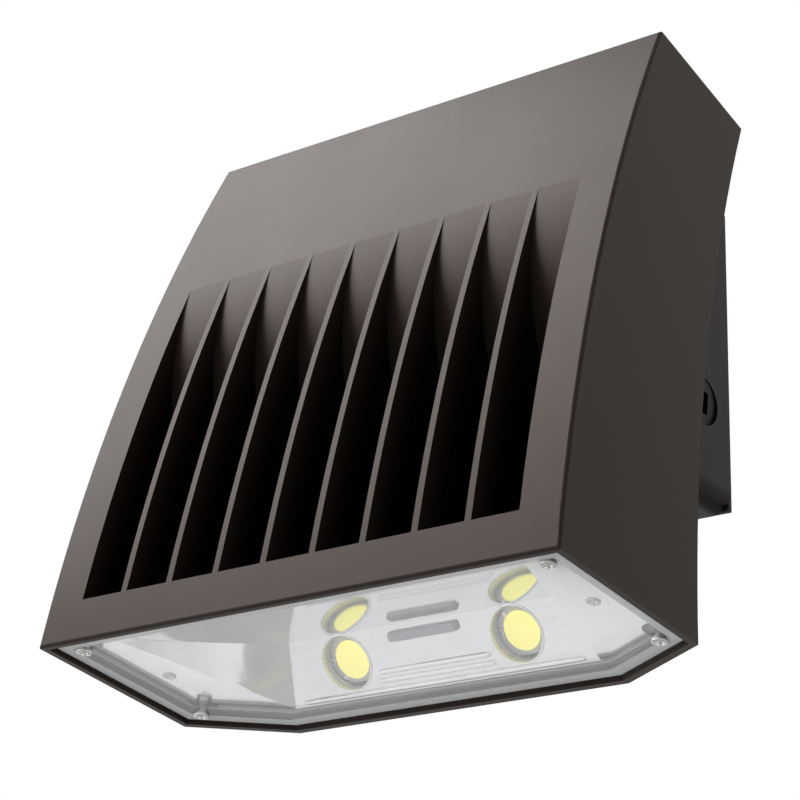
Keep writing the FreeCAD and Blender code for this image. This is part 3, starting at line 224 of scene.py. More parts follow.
# ---------------------------------------------------------------- shader helpers

class Finish:
    """A material under way: one Principled shader, and the pattern nodes that feed it."""

    def __init__(self, name, **sockets):
        self.material = bpy.data.materials.new(name)
        self.material.use_nodes = True
        self.nodes = self.material.node_tree.nodes
        self.links = self.material.node_tree.links
        self.shader = self.nodes["Principled BSDF"]
        for socket, value in sockets.items():
            self.shader.inputs[socket.replace("_", " ")].default_value = value
        self.place = self.nodes.new("ShaderNodeTexCoord").outputs["Object"]

    def link(self, source, node, socket):
        self.links.new(source, node.inputs[socket])

    def noise(self, scale, detail=3.0, roughness=0.5, stretch=(1, 1, 1)):
        """Noise on object coordinates; stretch multiplies the scale along each axis."""
        mapping = self.nodes.new("ShaderNodeMapping")
        mapping.inputs["Scale"].default_value = stretch
        self.link(self.place, mapping, "Vector")
        node = self.nodes.new("ShaderNodeTexNoise")
        node.inputs["Scale"].default_value = scale
        node.inputs["Detail"].default_value = detail
        node.inputs["Roughness"].default_value = roughness
        self.link(mapping.outputs["Vector"], node, "Vector")
        return node.outputs["Fac"]

    def ramp(self, source, low, high):
        """Black below low, white above high."""
        node = self.nodes.new("ShaderNodeValToRGB")
        for point, position in zip(node.color_ramp.elements, (low, high)):
            point.position = position
        self.link(source, node, "Fac")
        return node.outputs["Color"]

    def feed(self, node, socket, value):
        """Links a socket, or sets a number, a vector or a colour."""
        entry = node.inputs[socket]
        if isinstance(value, bpy.types.NodeSocket):
            self.links.new(value, entry)
        else:
            entry.default_value = (*value, 1) if entry.type == "RGBA" else value

    def mix(self, share, first, second):
        """A colour mix; share is a socket or a number, first and second sockets or colours."""
        node = self.nodes.new("ShaderNodeMix")
        node.data_type = "RGBA"
        for socket, value in ((0, share), (6, first), (7, second)):
            self.feed(node, socket, value)
        return node.outputs[2]

    def vector(self, operation, *values):
        """A vector operation on sockets or constants."""
        node = self.nodes.new("ShaderNodeVectorMath")
        node.operation = operation
        for socket, value in enumerate(values):
            self.feed(node, socket, value)
        return node.outputs["Value" if operation == "LENGTH" else "Vector"]

    def parts(self, source):
        """The X, Y and Z sockets of a vector."""
        node = self.nodes.new("ShaderNodeSeparateXYZ")
        self.link(source, node, "Vector")
        return node.outputs

    def spread(self, source, low, high):
        """Zero below low, one above high, and a straight line between."""
        node = self.nodes.new("ShaderNodeMapRange")
        node.inputs["From Min"].default_value = low
        node.inputs["From Max"].default_value = high
        self.link(source, node, "Value")
        return node.outputs["Result"]

    def math(self, operation, *values):
        """A number operation on sockets or constants."""
        node = self.nodes.new("ShaderNodeMath")
        node.operation = operation
        for socket, value in enumerate(values):
            self.feed(node, socket, value)
        return node.outputs["Value"]

    def colour(self, source):
        self.link(source, self.shader, "Base Color")

    def roughness(self, source, low, high):
        """Roughness from low to high as the source goes from zero to one."""
        node = self.nodes.new("ShaderNodeMapRange")
        node.inputs["To Min"].default_value = low
        node.inputs["To Max"].default_value = high
        self.link(source, node, "Value")
        self.link(node.outputs["Result"], self.shader, "Roughness")

    def bump(self, source, strength, distance):
        """Relief from a height pattern; distance in metres."""
        node = self.nodes.new("ShaderNodeBump")
        node.inputs["Strength"].default_value = strength
        node.inputs["Distance"].default_value = distance
        self.link(source, node, "Height")
        self.link(node.outputs["Normal"], self.shader, "Normal")


def speckled(name, first, second, scale, low, high, **sockets):
    """A finish of two close tones in a fine grain, whose gloss and relief follow the grain."""
    finish = Finish(name, **sockets)
    grain = finish.noise(scale, 4.0)
    finish.colour(finish.mix(finish.ramp(grain, 0.35, 0.65), first, second))
    finish.roughness(grain, low, high)
    return finish, grain


# ---------------------------------------------------------------- finishes

def powder_coat(settings):
    """Dark bronze powder coat: fine orange peel, a faint cloud of tone, a satin gloss, and
    painted shade deep in the cooling slots.
    """
    finish = Finish("bronze_powder_coat", IOR=1.5, Specular_IOR_Level=settings.coat_shine,
                    Specular_Tint=(1.0, 0.82, 0.77, 1))
    peel = finish.noise(settings.peel_scale, 2.0)
    cloud = finish.noise(26.0, 3.0)
    tone = Vector(settings.coat_colour)
    grain = finish.mix(finish.ramp(peel, 0.3, 0.7), tone * 0.92, tone * 1.08)
    wear = finish.mix(finish.ramp(cloud, 0.3, 0.7), tone * 0.97, tone * 1.03)
    coat = finish.mix(0.35, grain, wear)
    # Painted shade: deep in the cooling slots, the coat's colour darkens towards the painted
    # slot tone.
    finish.colour(finish.mix(painted_slot_shade_share(finish), coat, tone * settings.painted_slot_tone))
    finish.roughness(cloud, settings.coat_roughness - 0.03, settings.coat_roughness + 0.03)
    finish.bump(peel, 0.1, 0.0001)
    return finish.material


def painted_slot_shade_share(finish):
    """How much painted shade the cooling slots get, from zero to one: the coat's colour is
    darkened there to stand in for their shade. The front face is an arc about X, so a point's
    depth is its radius less the distance from its middle. The painted shade falls on the
    blades' sides from their edges on, and on the scoops only far down."""
    arc = finish.vector("SUBTRACT", finish.vector("MULTIPLY", finish.place, (0, 1, 1)),
                        (0, FACE_MIDDLE[0], FACE_MIDDLE[1]))
    depth = finish.math("SUBTRACT", FACE_RADIUS, finish.vector("LENGTH", arc))
    normal = finish.parts(finish.nodes.new("ShaderNodeNewGeometry").outputs["Normal"])
    sideways = finish.math("POWER", finish.math("ABSOLUTE", normal["X"]), 2.0)
    blades = finish.math("MULTIPLY", finish.spread(depth, *BLADE_SHADE), sideways)
    share = finish.math("MAXIMUM", blades, finish.spread(depth, *SCOOP_SHADE))
    place = finish.parts(finish.place)
    inside = finish.math("LESS_THAN", finish.math("ABSOLUTE", place["X"]), SLOTS_HALF_WIDTH)
    above = finish.spread(place["Z"], *SLOTS_FOOT)
    return finish.math("MULTIPLY", share, finish.math("MULTIPLY", inside, above))


def brushed_steel(name, colour, roughness):
    """Bare or plated metal with fine drawn lines along Y."""
    finish = Finish(name, Metallic=1.0)
    lines = finish.noise(900.0, 3.0, stretch=(1, 0.15, 1))
    finish.colour(finish.mix(lines, Vector(colour) * 0.85, Vector(colour) * 1.05))
    finish.roughness(lines, roughness - 0.08, roughness + 0.1)
    finish.bump(lines, 0.08, 0.00005)
    return finish.material


def rubber(name, colour, roughness):
    """Matt rubber, foam or lead insulation with a fine grain."""
    finish, grain = speckled(name, Vector(colour) * 0.85, Vector(colour) * 1.12, 1300.0,
                             roughness - 0.08, roughness + 0.08)
    finish.bump(grain, 0.15, 0.0001)
    return finish.material


def moulded(name, colour, roughness):
    """Moulded plastic with a soft, wide grain."""
    finish, grain = speckled(name, Vector(colour) * 0.94, Vector(colour) * 1.05, 420.0,
                             roughness - 0.05, roughness + 0.08)
    finish.bump(grain, 0.05, 0.0001)
    return finish.material


def clear_lens():
    """Clear flat glass: see-through, with a mirror share 0.04 + 0.96 (1 - |cos|)^5 and haze."""
    finish = Finish("clear_lens_glass", Metallic=1.0, Roughness=0.03)
    finish.shader.inputs["Base Color"].default_value = (0.96, 0.97, 0.98, 1)
    facing = finish.nodes.new("ShaderNodeLayerWeight").outputs["Facing"]
    share = finish.math("MULTIPLY_ADD", finish.math("POWER", facing, 5.0), 0.96, 0.04)
    haze = finish.math("MULTIPLY", finish.noise(60.0, 3.0), 0.05)
    finish.link(finish.math("ADD", share, haze), finish.shader, "Alpha")
    return finish.material


def frosted_border():
    """Moulded, lightly frosted edge of the lens: pale, half see-through, with a fine grain."""
    finish, grain = speckled("frosted_border", (0.80, 0.81, 0.83), (0.92, 0.93, 0.94), 900.0,
                             0.3, 0.5)
    finish.shader.inputs["Alpha"].default_value = 0.75
    finish.bump(grain, 0.1, 0.00005)
    return finish.material


def bright_sheet(name, roughness=0.09):
    """Bright specular aluminium sheet: near a mirror, with a faint roll grain."""
    finish = Finish(name, Metallic=1.0)
    lines = finish.noise(700.0, 3.0, stretch=(0.06, 1, 1))
    finish.colour(finish.mix(lines, (0.66, 0.67, 0.675), (0.77, 0.775, 0.78)))
    finish.roughness(lines, roughness * 0.6, roughness * 1.4)
    finish.bump(lines, 0.03, 0.00005)
    return finish.material


def board_mask():
    """White solder mask over a metal core: a fine weave and a few darker specks."""
    finish = Finish("white_board", Specular_IOR_Level=0.4)
    weave = finish.noise(1500.0, 2.0, stretch=(1, 3, 3))
    specks = finish.ramp(finish.noise(700.0, 1.0), 0.70, 0.74)
    base = finish.mix(weave, (0.78, 0.78, 0.76), (0.86, 0.86, 0.84))
    finish.colour(finish.mix(specks, base, (0.62, 0.61, 0.58)))
    finish.roughness(weave, 0.38, 0.5)
    finish.bump(weave, 0.06, 0.00005)
    return finish.material


def phosphor():
    """Yellow phosphor under clear silicone: fine grain and a little light of its own."""
    finish, grain = speckled("yellow_phosphor", (0.95, 0.86, 0.09), (1.0, 0.92, 0.15), 2600.0,
                             0.18, 0.3)
    finish.shader.inputs["Emission Color"].default_value = (1.0, 0.94, 0.2, 1)
    finish.shader.inputs["Emission Strength"].default_value = 0.58
    finish.bump(grain, 0.05, 0.00005)
    return finish.material


def dress(material, *names):
    """Puts a material on every slot of the named solids."""
    for name in names:
        slots = NODES[name].data.materials
        if not slots:
            slots.append(material)
        for index in range(len(slots)):
            slots[index] = material


# ---------------------------------------------------------------- settings

class CoatSettings(bpy.types.PropertyGroup):
    coat_colour: FloatVectorProperty(
        name="Coat colour", description="Linear colour of the powder coat", subtype="COLOR",
        default=(0.036, 0.0255, 0.0195), min=0.0, max=1.0)
    coat_roughness: FloatProperty(
        name="Roughness", description="Middle roughness of the powder coat", default=0.4,
        min=0.0, max=1.0, subtype="FACTOR")
    coat_shine: FloatProperty(
        name="Shine", description="Specular level of the powder coat", default=0.14, min=0.0,
        max=1.0, subtype="FACTOR")
    # Painted shade: how much of the coat's colour is left deep in the slots, where the darker
    # colour stands in for their shade.
    painted_slot_tone: FloatProperty(
        name="Slot tone", description="Share of the coat's colour deep in the slots",
        default=0.12, min=0.0, max=1.0, subtype="FACTOR")
    peel_scale: FloatProperty(
        name="Orange peel scale", description="Noise scale of the coat's fine relief",
        default=1100.0, min=10.0)


class StageSettings(bpy.types.PropertyGroup):
    floor_level: FloatProperty(
        name="Floor level", description="Height of the floor below the wall fixing",
        default=-2.2, unit="LENGTH")
    key_power: FloatProperty(
        name="Key power", description="Power of the large softbox above the front",
        default=43.0, min=0.0, unit="POWER")
    fill_power: FloatProperty(
        name="Fill power", description="Power of the softbox below the front",
        default=10.0, min=0.0, unit="POWER")
    rear_power: FloatProperty(
        name="Rear power", description="Power of the softbox behind the wall side",
        default=18.0, min=0.0, unit="POWER")
    surround: FloatProperty(
        name="Surround", description="Strength of the surroundings as diffuse light",
        default=0.19, min=0.0)
    camera_lens: FloatProperty(
        name="Focal length", description="Focal length of the camera", default=121.776,
        min=1.0, unit="CAMERA")


# ---------------------------------------------------------------- operators

def settings_of(context):
    """The coat's settings and the stage's."""
    return context.scene.wallpack_coat, context.scene.wallpack_stage


class WALLPACK_OT_stage(bpy.types.Operator):
    """Camera at the photograph's angle, pale floor, white surroundings and three softboxes"""
    bl_idname = "wallpack.stage"
    bl_label = "Stage"

    CAMERA_PLACE = (0.647667, -0.839777, -0.464853)
    CAMERA_RIGHT = (0.774083, 0.627043, 0.087246)
    CAMERA_DOWN = (-0.188782, 0.360166, -0.913587)
    CAMERA_AHEAD = (-0.604282, 0.690722, 0.397173)
    AIM = Vector((0.0, -0.078, -0.03))
    FLOOR_RADIUS = 3.7

    # Each softbox: its name, its place and the length of its sides in metres, and its power.
    SOFTBOXES = (("key_softbox", (-1.2, -0.9, 1.25), 1.4, "key_power"),
                 ("low_softbox", (-1.15, -1.13, -1.22), 2.4, "fill_power"),
                 ("rear_softbox", (-0.6, 1.9, 0.7), 1.4, "rear_power"))

    def execute(self, context):
        settings = settings_of(context)[1]
        self.camera(context, settings)
        self.floor(context, settings)
        self.surround(context, settings)
        for name, place, side, power in self.SOFTBOXES:
            self.softbox(context, name, place, side, getattr(settings, power))
        context.scene.view_settings.view_transform = "Standard"
        return {"FINISHED"}

    def camera(self, context, settings):
        """The photograph's view: the camera's right, up and back are its matrix's columns."""
        data = bpy.data.cameras.new("photo_camera")
        data.sensor_width = 36.0
        data.lens = settings.camera_lens
        data.clip_start = 0.01
        data.clip_end = 100.0
        camera = bpy.data.objects.new("photo_camera", data)
        context.collection.objects.link(camera)
        right, down, ahead = map(Vector, (self.CAMERA_RIGHT, self.CAMERA_DOWN,
                                          self.CAMERA_AHEAD))
        turn = Matrix((right, -down, -ahead)).transposed().to_4x4()
        camera.matrix_world = Matrix.Translation(self.CAMERA_PLACE) @ turn
        context.scene.camera = camera

    def floor(self, context, settings):
        """A disc: radius times (cosine, sine) of the turn, at the floor's level."""
        turn = np.linspace(0, 2 * np.pi, 64, endpoint=False)
        points = np.stack([self.FLOOR_RADIUS * np.cos(turn), self.FLOOR_RADIUS * np.sin(turn),
                           np.full_like(turn, settings.floor_level)], 1)
        mesh = bpy.data.meshes.new("floor")
        mesh.from_pydata(points.tolist(), [], [list(range(len(turn)))])
        floor = bpy.data.objects.new("floor", mesh)
        context.collection.objects.link(floor)
        finish = Finish("pale_floor", Roughness=0.9, Specular_IOR_Level=0.1)
        cloud = finish.noise(1.5, 2.0)
        finish.colour(finish.mix(cloud, (0.90, 0.90, 0.90), (0.93, 0.93, 0.93)))
        mesh.materials.append(finish.material)

    def surround(self, context, settings):
        """White to the eye, in gloss and through glass; the set strength as diffuse light."""
        world = bpy.data.worlds.new("studio")
        context.scene.world = world
        world.use_nodes = True
        nodes, links = world.node_tree.nodes, world.node_tree.links
        path = nodes.new("ShaderNodeLightPath")
        seen = path.outputs["Is Camera Ray"]
        for other in ("Is Glossy Ray", "Is Transmission Ray"):
            add = nodes.new("ShaderNodeMath")
            add.operation = "ADD"
            add.use_clamp = True
            links.new(seen, add.inputs[0])
            links.new(path.outputs[other], add.inputs[1])
            seen = add.outputs["Value"]
        strength = nodes.new("ShaderNodeMapRange")
        strength.inputs["To Min"].default_value = settings.surround
        links.new(seen, strength.inputs["Value"])
        links.new(strength.outputs["Result"], nodes["Background"].inputs["Strength"])
        nodes["Background"].inputs["Color"].default_value = (1, 1, 1, 1)

    def softbox(self, context, name, place, side, power):
        """A square lamp that faces the part."""
        data = bpy.data.lights.new(name, "AREA")
        data.shape = "SQUARE"
        data.size = side
        data.energy = power
        lamp = bpy.data.objects.new(name, data)
        context.collection.objects.link(lamp)
        lamp.location = place
        lamp.rotation_mode = "QUATERNION"
        lamp.rotation_quaternion = (self.AIM - Vector(place)).to_track_quat("-Z", "Y")


class WALLPACK_OT_coated_castings(bpy.types.Operator):
    """Powder coat on the door, the box and the entry plugs, with painted shade deep in the
    door's cooling slots
    """
    bl_idname = "wallpack.coated_castings"
    bl_label = "Coated castings"

    def execute(self, context):
        dress(powder_coat(settings_of(context)[0]), "door_housing", "back_box",
              "conduit_plug_left", "conduit_plug_right", "conduit_plug_bottom")
        return {"FINISHED"}


class WALLPACK_OT_light_sources(bpy.types.Operator):
    """Two round sources with a dam ring, the soldered pads on their boards, and the ribbed
    collars of the reflector's openings"""
    bl_idname = "wallpack.light_sources"
    bl_label = "Light sources"

    # In millimetres: radii of the phosphor, its dam and the reflector's opening; half the
    # board across and up, its face and back out from the emitter's face; then the number
    # and the depth of the collar's ribs.
    GLOW_RADIUS, DAM_RADIUS, OPENING_RADIUS = 7.6, 7.97, 11.35
    BOARD_HALF, BOARD_FACE, BOARD_BACK = (14, 10), -0.8, -2.0
    RIBS, RIB_DEPTH = 22, 0.22

    def execute(self, context):
        glow, dam = phosphor(), moulded("dam_silicone", (0.86, 0.84, 0.70), 0.3)
        board = board_mask()
        tin = brushed_steel("solder_tin", (0.74, 0.75, 0.76), 0.28)
        collar = bright_sheet("collar_aluminium", 0.22)
        for side, sign in (("left", -1), ("right", 1)):
            self.source(side, sign, glow, dam)
            self.board(side, sign, board, tin)
            self.collar(side, sign, collar)
        return {"FINISHED"}

    def source(self, side, sign, glow, dam):
        """A lathe form: the phosphor's shallow bowl, then the dam ring round it."""
        glow_edge, dam_edge = self.GLOW_RADIUS, self.DAM_RADIUS
        bowl = eased([(0, -0.26, 0), (7.3, -0.26, 1.0), (glow_edge, -0.1, 0)])
        ring = eased([(glow_edge, -0.1, 0), (7.7, 0, 0.08), (dam_edge, 0, 0.1),
                      (dam_edge, self.BOARD_FACE, 0.05), (0, self.BOARD_FACE, 0)])
        node = "led_emitter_" + side
        piece = Piece("light_source_" + side)
        piece.sheet(from_board(lathe(bowl, 96), sign))
        piece.sheet(from_board(lathe(ring, 96), sign), 1)
        piece.place("door", glow, dam, stands_for=[node])

    def board(self, side, sign, mask, tin):
        """The board as a slab, and on it two pads with a solder dome on each."""
        node = "led_board_" + side
        half_x, half_y = self.BOARD_HALF
        front, back = self.BOARD_FACE, self.BOARD_BACK
        body = slab(half_x, half_y, eased([(half_x, front, 0), (0, front, 0.12),
                                           (0, back, 0.12), (half_x, back, 0)]), 24.0)
        piece = Piece("source_board_" + side).sheet(from_board(body, sign))
        for way in (-1, 1):
            spot = np.array([way * sign * -8.0, way * 7.5, front])
            pad = slab(2.1, 1.5, [(2.1, 0.06), (0.05, 0.06), (0, 0.04), (0, -0.1),
                                  (2.1, -0.1)], 8.0, 40)
            dome = lathe(eased([(0, 0.55, 0), (0.9, 0.5, 0.3), (1.3, 0.05, 0.2),
                                (1.3, -0.1, 0), (0, -0.1, 0)]), 40)
            for points in (pad, dome):
                piece.sheet(from_board(points + spot, sign), 1)
        piece.place("door", mask, tin, stands_for=[node])

    def collar(self, side, sign, finish):
        """A lathe form whose inner wall is ribbed: r = r0 - depth cos^2(ribs t)."""
        bore, turns = self.OPENING_RADIUS, 12 * self.RIBS
        ring = eased([(bore, 0.3, 0), (bore, 4.35, 0.5), (11.5, 4.75, 0.2),
                      (12.3, 4.75, 0.3), (12.3, 4.45, 0.1), (11.75, 4.4, 0.1),
                      (11.75, 0.3, 0.1), (bore, 0.3, 0)])
        points = lathe(ring, turns)
        turn = np.linspace(0, 2 * np.pi, turns, endpoint=False)
        inner = (ring[:, 0] < 11.45) & (ring[:, 1] < 4.3)
        shrink = 1 - np.outer(inner, self.RIB_DEPTH * np.cos(self.RIBS * turn) ** 2) / bore
        points[..., :2] *= shrink[..., None]
        piece = Piece("opening_collar_" + side).sheet(from_board(points, sign))
        piece.place("door", finish)


class WALLPACK_OT_optics(bpy.types.Operator):
    """The clear lens with its moulded bead, and the bright reflector with its sloping front
    sheet, pressed flutes and clip"""
    bl_idname = "wallpack.optics"
    bl_label = "Optics"

    # The underside's outline in millimetres: half its width, its depth to where the bevels
    # start, and how far each bevel runs across and back.
    HALF_WIDTH = 127.0
    DEPTH = 86.4
    BEVEL = (45.2, 22.0)

    # The sloping front sheet in millimetres: where it starts, how far forward it reaches, its
    # fall and its curve, its half widths at start and end, its middle's lift, its thickness.
    SHEET_START = (-7.7, 25.8)
    SHEET_REACH = 66.4
    SHEET_FALL, SHEET_CURVE = 0.3463, 0.000735
    SHEET_HALVES = (68.4, 100.6)
    SHEET_LIFT = 0.15
    SHEET_THICK = 0.6

    # The flutes' heights above the sources' middle with their half lengths, and their half
    # height; then the clip's height, half length and half height; in millimetres.
    FLUTES = ((-13.6, 70), (-9.6, 29), (-6.0, 28))
    FLUTE_HALF = 1.3
    CLIP_UP, CLIP_LONG, CLIP_HALF = 7.6, 17, 2.2

    def execute(self, context):
        dress(clear_lens(), "lens")
        dress(bright_sheet("specular_aluminium"), "reflector")
        # The bead on the lens's inner face, and the frosted border on its outer one.
        bead = self.ring([(9.4, 5.0), (9.6, 5.5), (10.2, 5.62), (10.2, 5.0), (9.4, 5.0)])
        border = self.ring([(4.0, 2.0), (4.1, 1.92), (9.2, 1.92), (9.4, 2.0), (4.0, 2.0)])
        piece = Piece("lens_border").sheet(from_door(bead)).sheet(from_door(border))
        piece.place("door", frosted_border())
        sheet = bright_sheet("deflector_aluminium", 0.07)
        self.deflector(sheet)
        self.flutes(sheet)
        return {"FINISHED"}

    def flutes(self, finish):
        """Pressed flutes across the rear wall below and between the openings, as long low
        slabs, and a grey clip above them that covers the leads' way behind the wall."""
        half = self.FLUTE_HALF
        ridge = eased([(half, 0.9, 0), (0.7, 0.85, 0.3), (0.05, 0.1, 0.2), (0, -0.2, 0),
                       (half, -0.2, 0)])
        piece = Piece("reflector_flutes")
        for up, half_length in self.FLUTES:
            piece.sheet(self.on_wall(slab(half_length, half, ridge, 10.0, 72), up))
        piece.place("door", finish)
        half = self.CLIP_HALF
        clip = eased([(half, 2.2, 0), (0.5, 2.2, 0.4), (0, 1.2, 0.3), (0, -0.2, 0),
                      (half, -0.2, 0)])
        bar = Piece("lead_clip")
        bar.sheet(self.on_wall(slab(self.CLIP_LONG, half, clip, 10.0, 72), self.CLIP_UP))
        grey = moulded("grey_clip", (0.36, 0.38, 0.42), 0.35)
        bar.place("door", grey)

    def on_wall(self, points, up):
        """From millimetres on the reflector's rear wall to metres in the model's frame."""
        shift = np.array([-EMITTER_PLACE[0], up, REAR_WALL])
        return from_board(points + shift, 1)

    def deflector(self, finish):
        """A curved sheet from above the sources down to the tray's front edge:
        z = start - fall u + curve u^2 with u measured forwards, a half width that follows
        the tray's sloping ends, and lift (1 - |x / half|) more towards its middle."""
        start_y, start_z = self.SHEET_START
        narrow, wide = self.SHEET_HALVES
        u = np.linspace(0, self.SHEET_REACH, 28)
        z = start_z - self.SHEET_FALL * u + self.SHEET_CURVE * u ** 2
        share = np.linspace(-1, 1, 57)
        lift = self.SHEET_LIFT * (1 - np.abs(share))
        half = narrow + (wide - narrow) * u / u[-1]
        x = np.outer(half, share)
        y = np.repeat((start_y - u)[:, None], len(share), 1)
        under = np.stack([x, y, z[:, None] + lift], -1)
        over = under[:, ::-1] + (0, 0, self.SHEET_THICK)
        loop = np.concatenate([under, over], 1)
        ends = [np.repeat(row.mean(0)[None], len(row), 0)[None]
                for row in (loop[0], loop[-1])]
        piece = Piece("reflector_deflector").sheet(from_door(loop))
        piece.sheet(from_door(np.concatenate([ends[0], loop[:1]])))
        piece.sheet(from_door(np.concatenate([loop[-1:], ends[1]])))
        piece.place("door", finish)

    def six_sides(self, inset):
        """The underside's outline in the door's frame, moved inwards by inset."""
        run = math.hypot(*self.BEVEL)
        sine, cosine = self.BEVEL[1] / run, self.BEVEL[0] / run
        side_x, side_y = self.HALF_WIDTH - inset, -inset * (1 - sine) / cosine
        rear_x = self.HALF_WIDTH - self.BEVEL[0] - inset * (1 - cosine) / sine
        rear_y, front_y = self.BEVEL[1] - inset, inset - self.DEPTH
        return np.array([(-side_x, front_y), (side_x, front_y), (side_x, side_y),
                         (rear_x, rear_y), (-rear_x, rear_y), (-side_x, side_y)])

    def ring(self, profile):
        """Rings of the six-sided outline, one for each (inset, z) of the profile."""
        return np.stack([np.insert(self.six_sides(inset), 2, z, axis=1)
                         for inset, z in profile])


class WALLPACK_OT_fasteners(bpy.types.Operator):
    """Screws with pressed recesses, and hinge pins with rounded ends"""
    bl_idname = "wallpack.fasteners"
    bl_label = "Fasteners"

    # Head radius and height, shank radius and length, recess and its depth, in millimetres.
    LENS_SCREW = (3.3, 1.6, 2.0, 15.3, cross_recess, 1.0)
    FLANGE_SCREW = (2.8, 0.6, 1.5, 9.8, cross_recess, 0.45)
    CASE_SCREW = (3.6, 2.4, 2.0, 9.8, cross_recess, 1.4)
    BOARD_SCREW = (2.16, 0.8, 1.2, 4.8, cross_recess, 0.5)
    GROUND_SCREW = (4.6, 2.4, 2.5, 7.8, six_recess, 1.5)
    CAPTIVE_HEAD = (4.5, 5.0)
    CAPTIVE_SHANK = 2.5
    PIN_RADIUS = 2.5

    def execute(self, context):
        steel = brushed_steel("stainless_steel", (0.70, 0.70, 0.68), 0.3)
        zinc = brushed_steel("zinc_plate", (0.58, 0.59, 0.61), 0.36)
        green = brushed_steel("green_ground_coat", (0.05, 0.36, 0.12), 0.42)
        down, back = (0, 0, -1), (0, 1, 0)
        self.door_set("lens_screws", steel, self.LENS_SCREW, down,
                      [(x, y, 2.0) for x in (-113.5, 113.5) for y in (-74.5, -5.0)])
        self.door_set("reflector_screws", zinc, self.FLANGE_SCREW, down,
                      [(x, -35.0, 5.7) for x in (-104.5, 104.5)])
        self.door_set("driver_screws", zinc, self.CASE_SCREW, back,
                      [(x, -50.0, z) for x in (-70, 70) for z in (126, 150)])
        self.door_set("surge_screws", zinc, self.CASE_SCREW, back,
                      [(x, -48.0, 186.0) for x in (-31, 31)])
        self.board_set(zinc)
        self.captive("left", steel)
        self.captive("right", steel)
        points = standing(headed(*self.GROUND_SCREW), (40, -14, -45), (0, -1, 0)) * MM
        piece = Piece("ground_screw_fine").sheet(points)
        piece.place("box", green, stands_for=["ground_screw"])
        self.pins(steel)
        return {"FINISHED"}

    def door_set(self, node, finish, form, up, places):
        """One screw at each place in the door's frame, in millimetres, its head towards up."""
        piece = Piece(node + "_fine")
        shape = headed(*form)
        for place in places:
            piece.sheet(from_door(standing(shape, place, up)))
        piece.place("door", finish, stands_for=[node])

    def board_set(self, finish):
        """Two screws beside each source, on the face of its board."""
        piece = Piece("led_screws_fine")
        shape = headed(*self.BOARD_SCREW)
        for sign in (-1, 1):
            for across in (-11, 11):
                piece.sheet(from_board(shape + np.array([across, 0, -0.8]), sign))
        piece.place("door", finish, stands_for=["led_screws"])

    def captive(self, side, finish):
        """A long screw along Y whose head and shank fill its solid's box."""
        node = "captive_screw_" + side
        radius, height = self.CAPTIVE_HEAD
        low, high = (np.array(corner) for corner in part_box(node))
        middle = (low + high) / 2
        seat = (middle[0], low[1] + height * MM, middle[2])
        length = (high[1] - seat[1]) / MM
        shape = headed(radius, height, self.CAPTIVE_SHANK, length, six_recess, 3.0, 0.12)
        piece = Piece(node + "_fine").sheet(standing(shape * MM, seat, (0, -1, 0)))
        piece.place(side + "_captive_screw", finish, stands_for=[node])

    def pins(self, finish):
        """Lathe forms along X, one for each pin."""
        for side in ("left", "right"):
            node = "hinge_pin_" + side
            low, high = (np.array(corner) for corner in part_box(node))
            middle, length = (low + high) / 2, (high[0] - low[0]) / MM
            radius = self.PIN_RADIUS
            points = lathe(eased([(0, 0, 0), (radius, 0, 0.5), (radius, length, 0.7),
                                  (0, length, 0)]), 96)
            base = (low[0], middle[1], middle[2])
            piece = Piece(node + "_fine")
            piece.sheet(standing(points * MM, base, (1, 0, 0), (0, 1, 0)))
            piece.place("box", finish, stands_for=[node])


class WALLPACK_OT_seals(bpy.types.Operator):
    """Wall gasket, door gasket and lens gasket"""
    bl_idname = "wallpack.seals"
    bl_label = "Seals"

    def execute(self, context):
        dress(rubber("black_foam", (0.045, 0.045, 0.048), 0.85), "wall_gasket")
        dress(rubber("grey_silicone", (0.30, 0.30, 0.31), 0.6), "door_gasket")
        dress(rubber("pale_silicone", (0.62, 0.62, 0.63), 0.55), "lens_gasket")
        return {"FINISHED"}


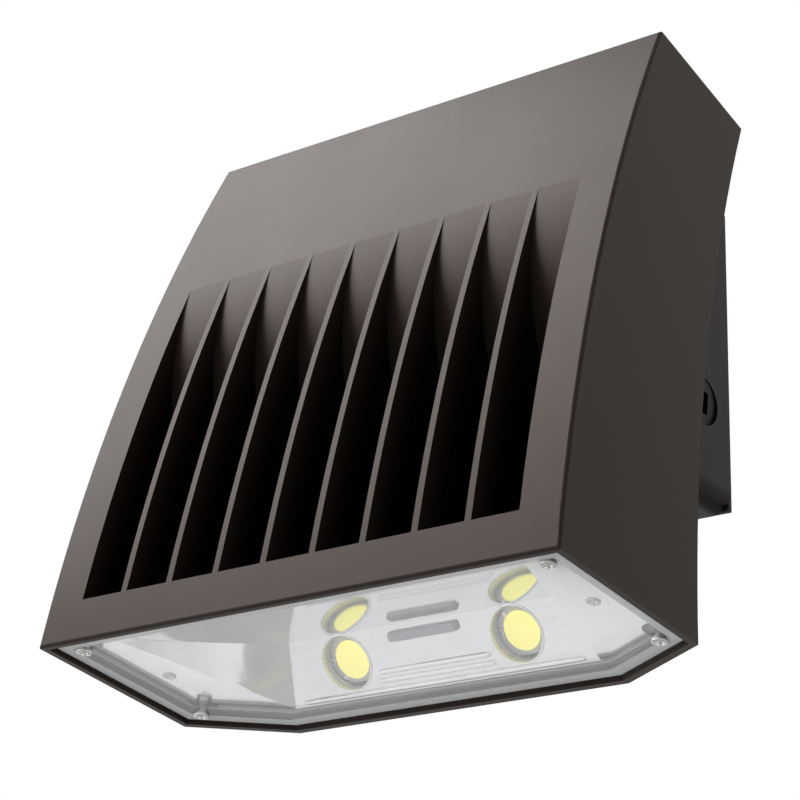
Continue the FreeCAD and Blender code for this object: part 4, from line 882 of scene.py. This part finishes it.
class WALLPACK_OT_driver_bay(bpy.types.Operator):
    """Driver and surge module with pressed cases, push-in connectors, and the leads"""
    bl_idname = "wallpack.driver_bay"
    bl_label = "Driver bay"

    # Each unit's seat in the door's frame, half its width, half its height and its
    # thickness, and how far its ears reach to either side, in millimetres.
    DRIVER = ((0, -52, 138), (65, 24, 28), 75)
    SURGE_MODULE = ((0, -50, 186), (26, 10, 18), 36)
    UP = (0, 1, 0)

    def execute(self, context):
        case = brushed_steel("driver_case", (0.66, 0.67, 0.68), 0.4)
        black = moulded("black_case", (0.03, 0.03, 0.032), 0.45)
        self.unit("driver", case, *self.DRIVER)
        self.unit("surge_module", black, *self.SURGE_MODULE)
        dress(moulded("nylon", (0.72, 0.69, 0.60), 0.4), "wire_connectors")
        dress(rubber("black_insulation", (0.03, 0.03, 0.03), 0.45), "driver_lead_line")
        dress(rubber("white_insulation", (0.80, 0.80, 0.78), 0.45), "driver_lead_neutral")
        dress(rubber("green_insulation", (0.04, 0.30, 0.09), 0.45), "driver_lead_ground")
        dress(rubber("red_insulation", (0.48, 0.04, 0.03), 0.45), "led_leads")
        return {"FINISHED"}

    def unit(self, node, finish, place, half, ear_reach):
        """A slab whose wall has a rolled seam, on a thin slab that ends in the two ears."""
        half_x, half_z, thick = half
        case = slab(half_x, half_z, eased(
            [(half_x, thick, 0), (0, thick, 1.2), (0, thick * 0.62, 0), (0.5, thick * 0.6, 0.2),
             (0.5, thick * 0.56, 0.2), (0, thick * 0.54, 0.2), (0, 2, 0), (0, 0.02, 0),
             (half_x, 0.02, 0)]), 26.0)
        ears = slab(ear_reach, half_z - 0.02, eased(
            [(ear_reach, 2, 0), (0, 2, 0.3), (0, 0.02, 0.3), (ear_reach, 0.02, 0)]), 30.0)
        piece = Piece(node + "_fine")
        for points in (case, ears):
            piece.sheet(from_door(standing(points, place, self.UP, (-1, 0, 0))))
        piece.place("door", finish, stands_for=[node])


class WALLPACK_PT_panel(bpy.types.Panel):
    """Sizes, colours and steps of the wall pack light"""
    bl_label = "Wall pack light"
    bl_idname = "WALLPACK_PT_panel"
    bl_space_type = "VIEW_3D"
    bl_region_type = "UI"
    bl_category = "Wall pack"

    def draw(self, context):
        scene = context.scene
        for title, settings in (("Coat", scene.wallpack_coat), ("Stage", scene.wallpack_stage)):
            box = self.layout.box()
            box.label(text=title)
            for prop in settings.bl_rna.properties:
                if prop.identifier not in ("rna_type", "name"):
                    box.prop(settings, prop.identifier)
        for step in STEPS:
            self.layout.operator(step.bl_idname)


SETTINGS = (CoatSettings, StageSettings)
STEPS = (WALLPACK_OT_stage, WALLPACK_OT_coated_castings, WALLPACK_OT_optics,
         WALLPACK_OT_light_sources, WALLPACK_OT_fasteners, WALLPACK_OT_seals,
         WALLPACK_OT_driver_bay)


def register():
    for entry in SETTINGS + STEPS + (WALLPACK_PT_panel,):
        bpy.utils.register_class(entry)
    bpy.types.Scene.wallpack_coat = PointerProperty(type=CoatSettings)
    bpy.types.Scene.wallpack_stage = PointerProperty(type=StageSettings)


def unregister():
    del bpy.types.Scene.wallpack_stage
    del bpy.types.Scene.wallpack_coat
    for entry in reversed(SETTINGS + STEPS + (WALLPACK_PT_panel,)):
        bpy.utils.unregister_class(entry)


def main():
    register()
    for step in STEPS:
        group, name = step.bl_idname.split(".")
        getattr(getattr(bpy.ops, group), name)()


if __name__ == "__main__":
    main()
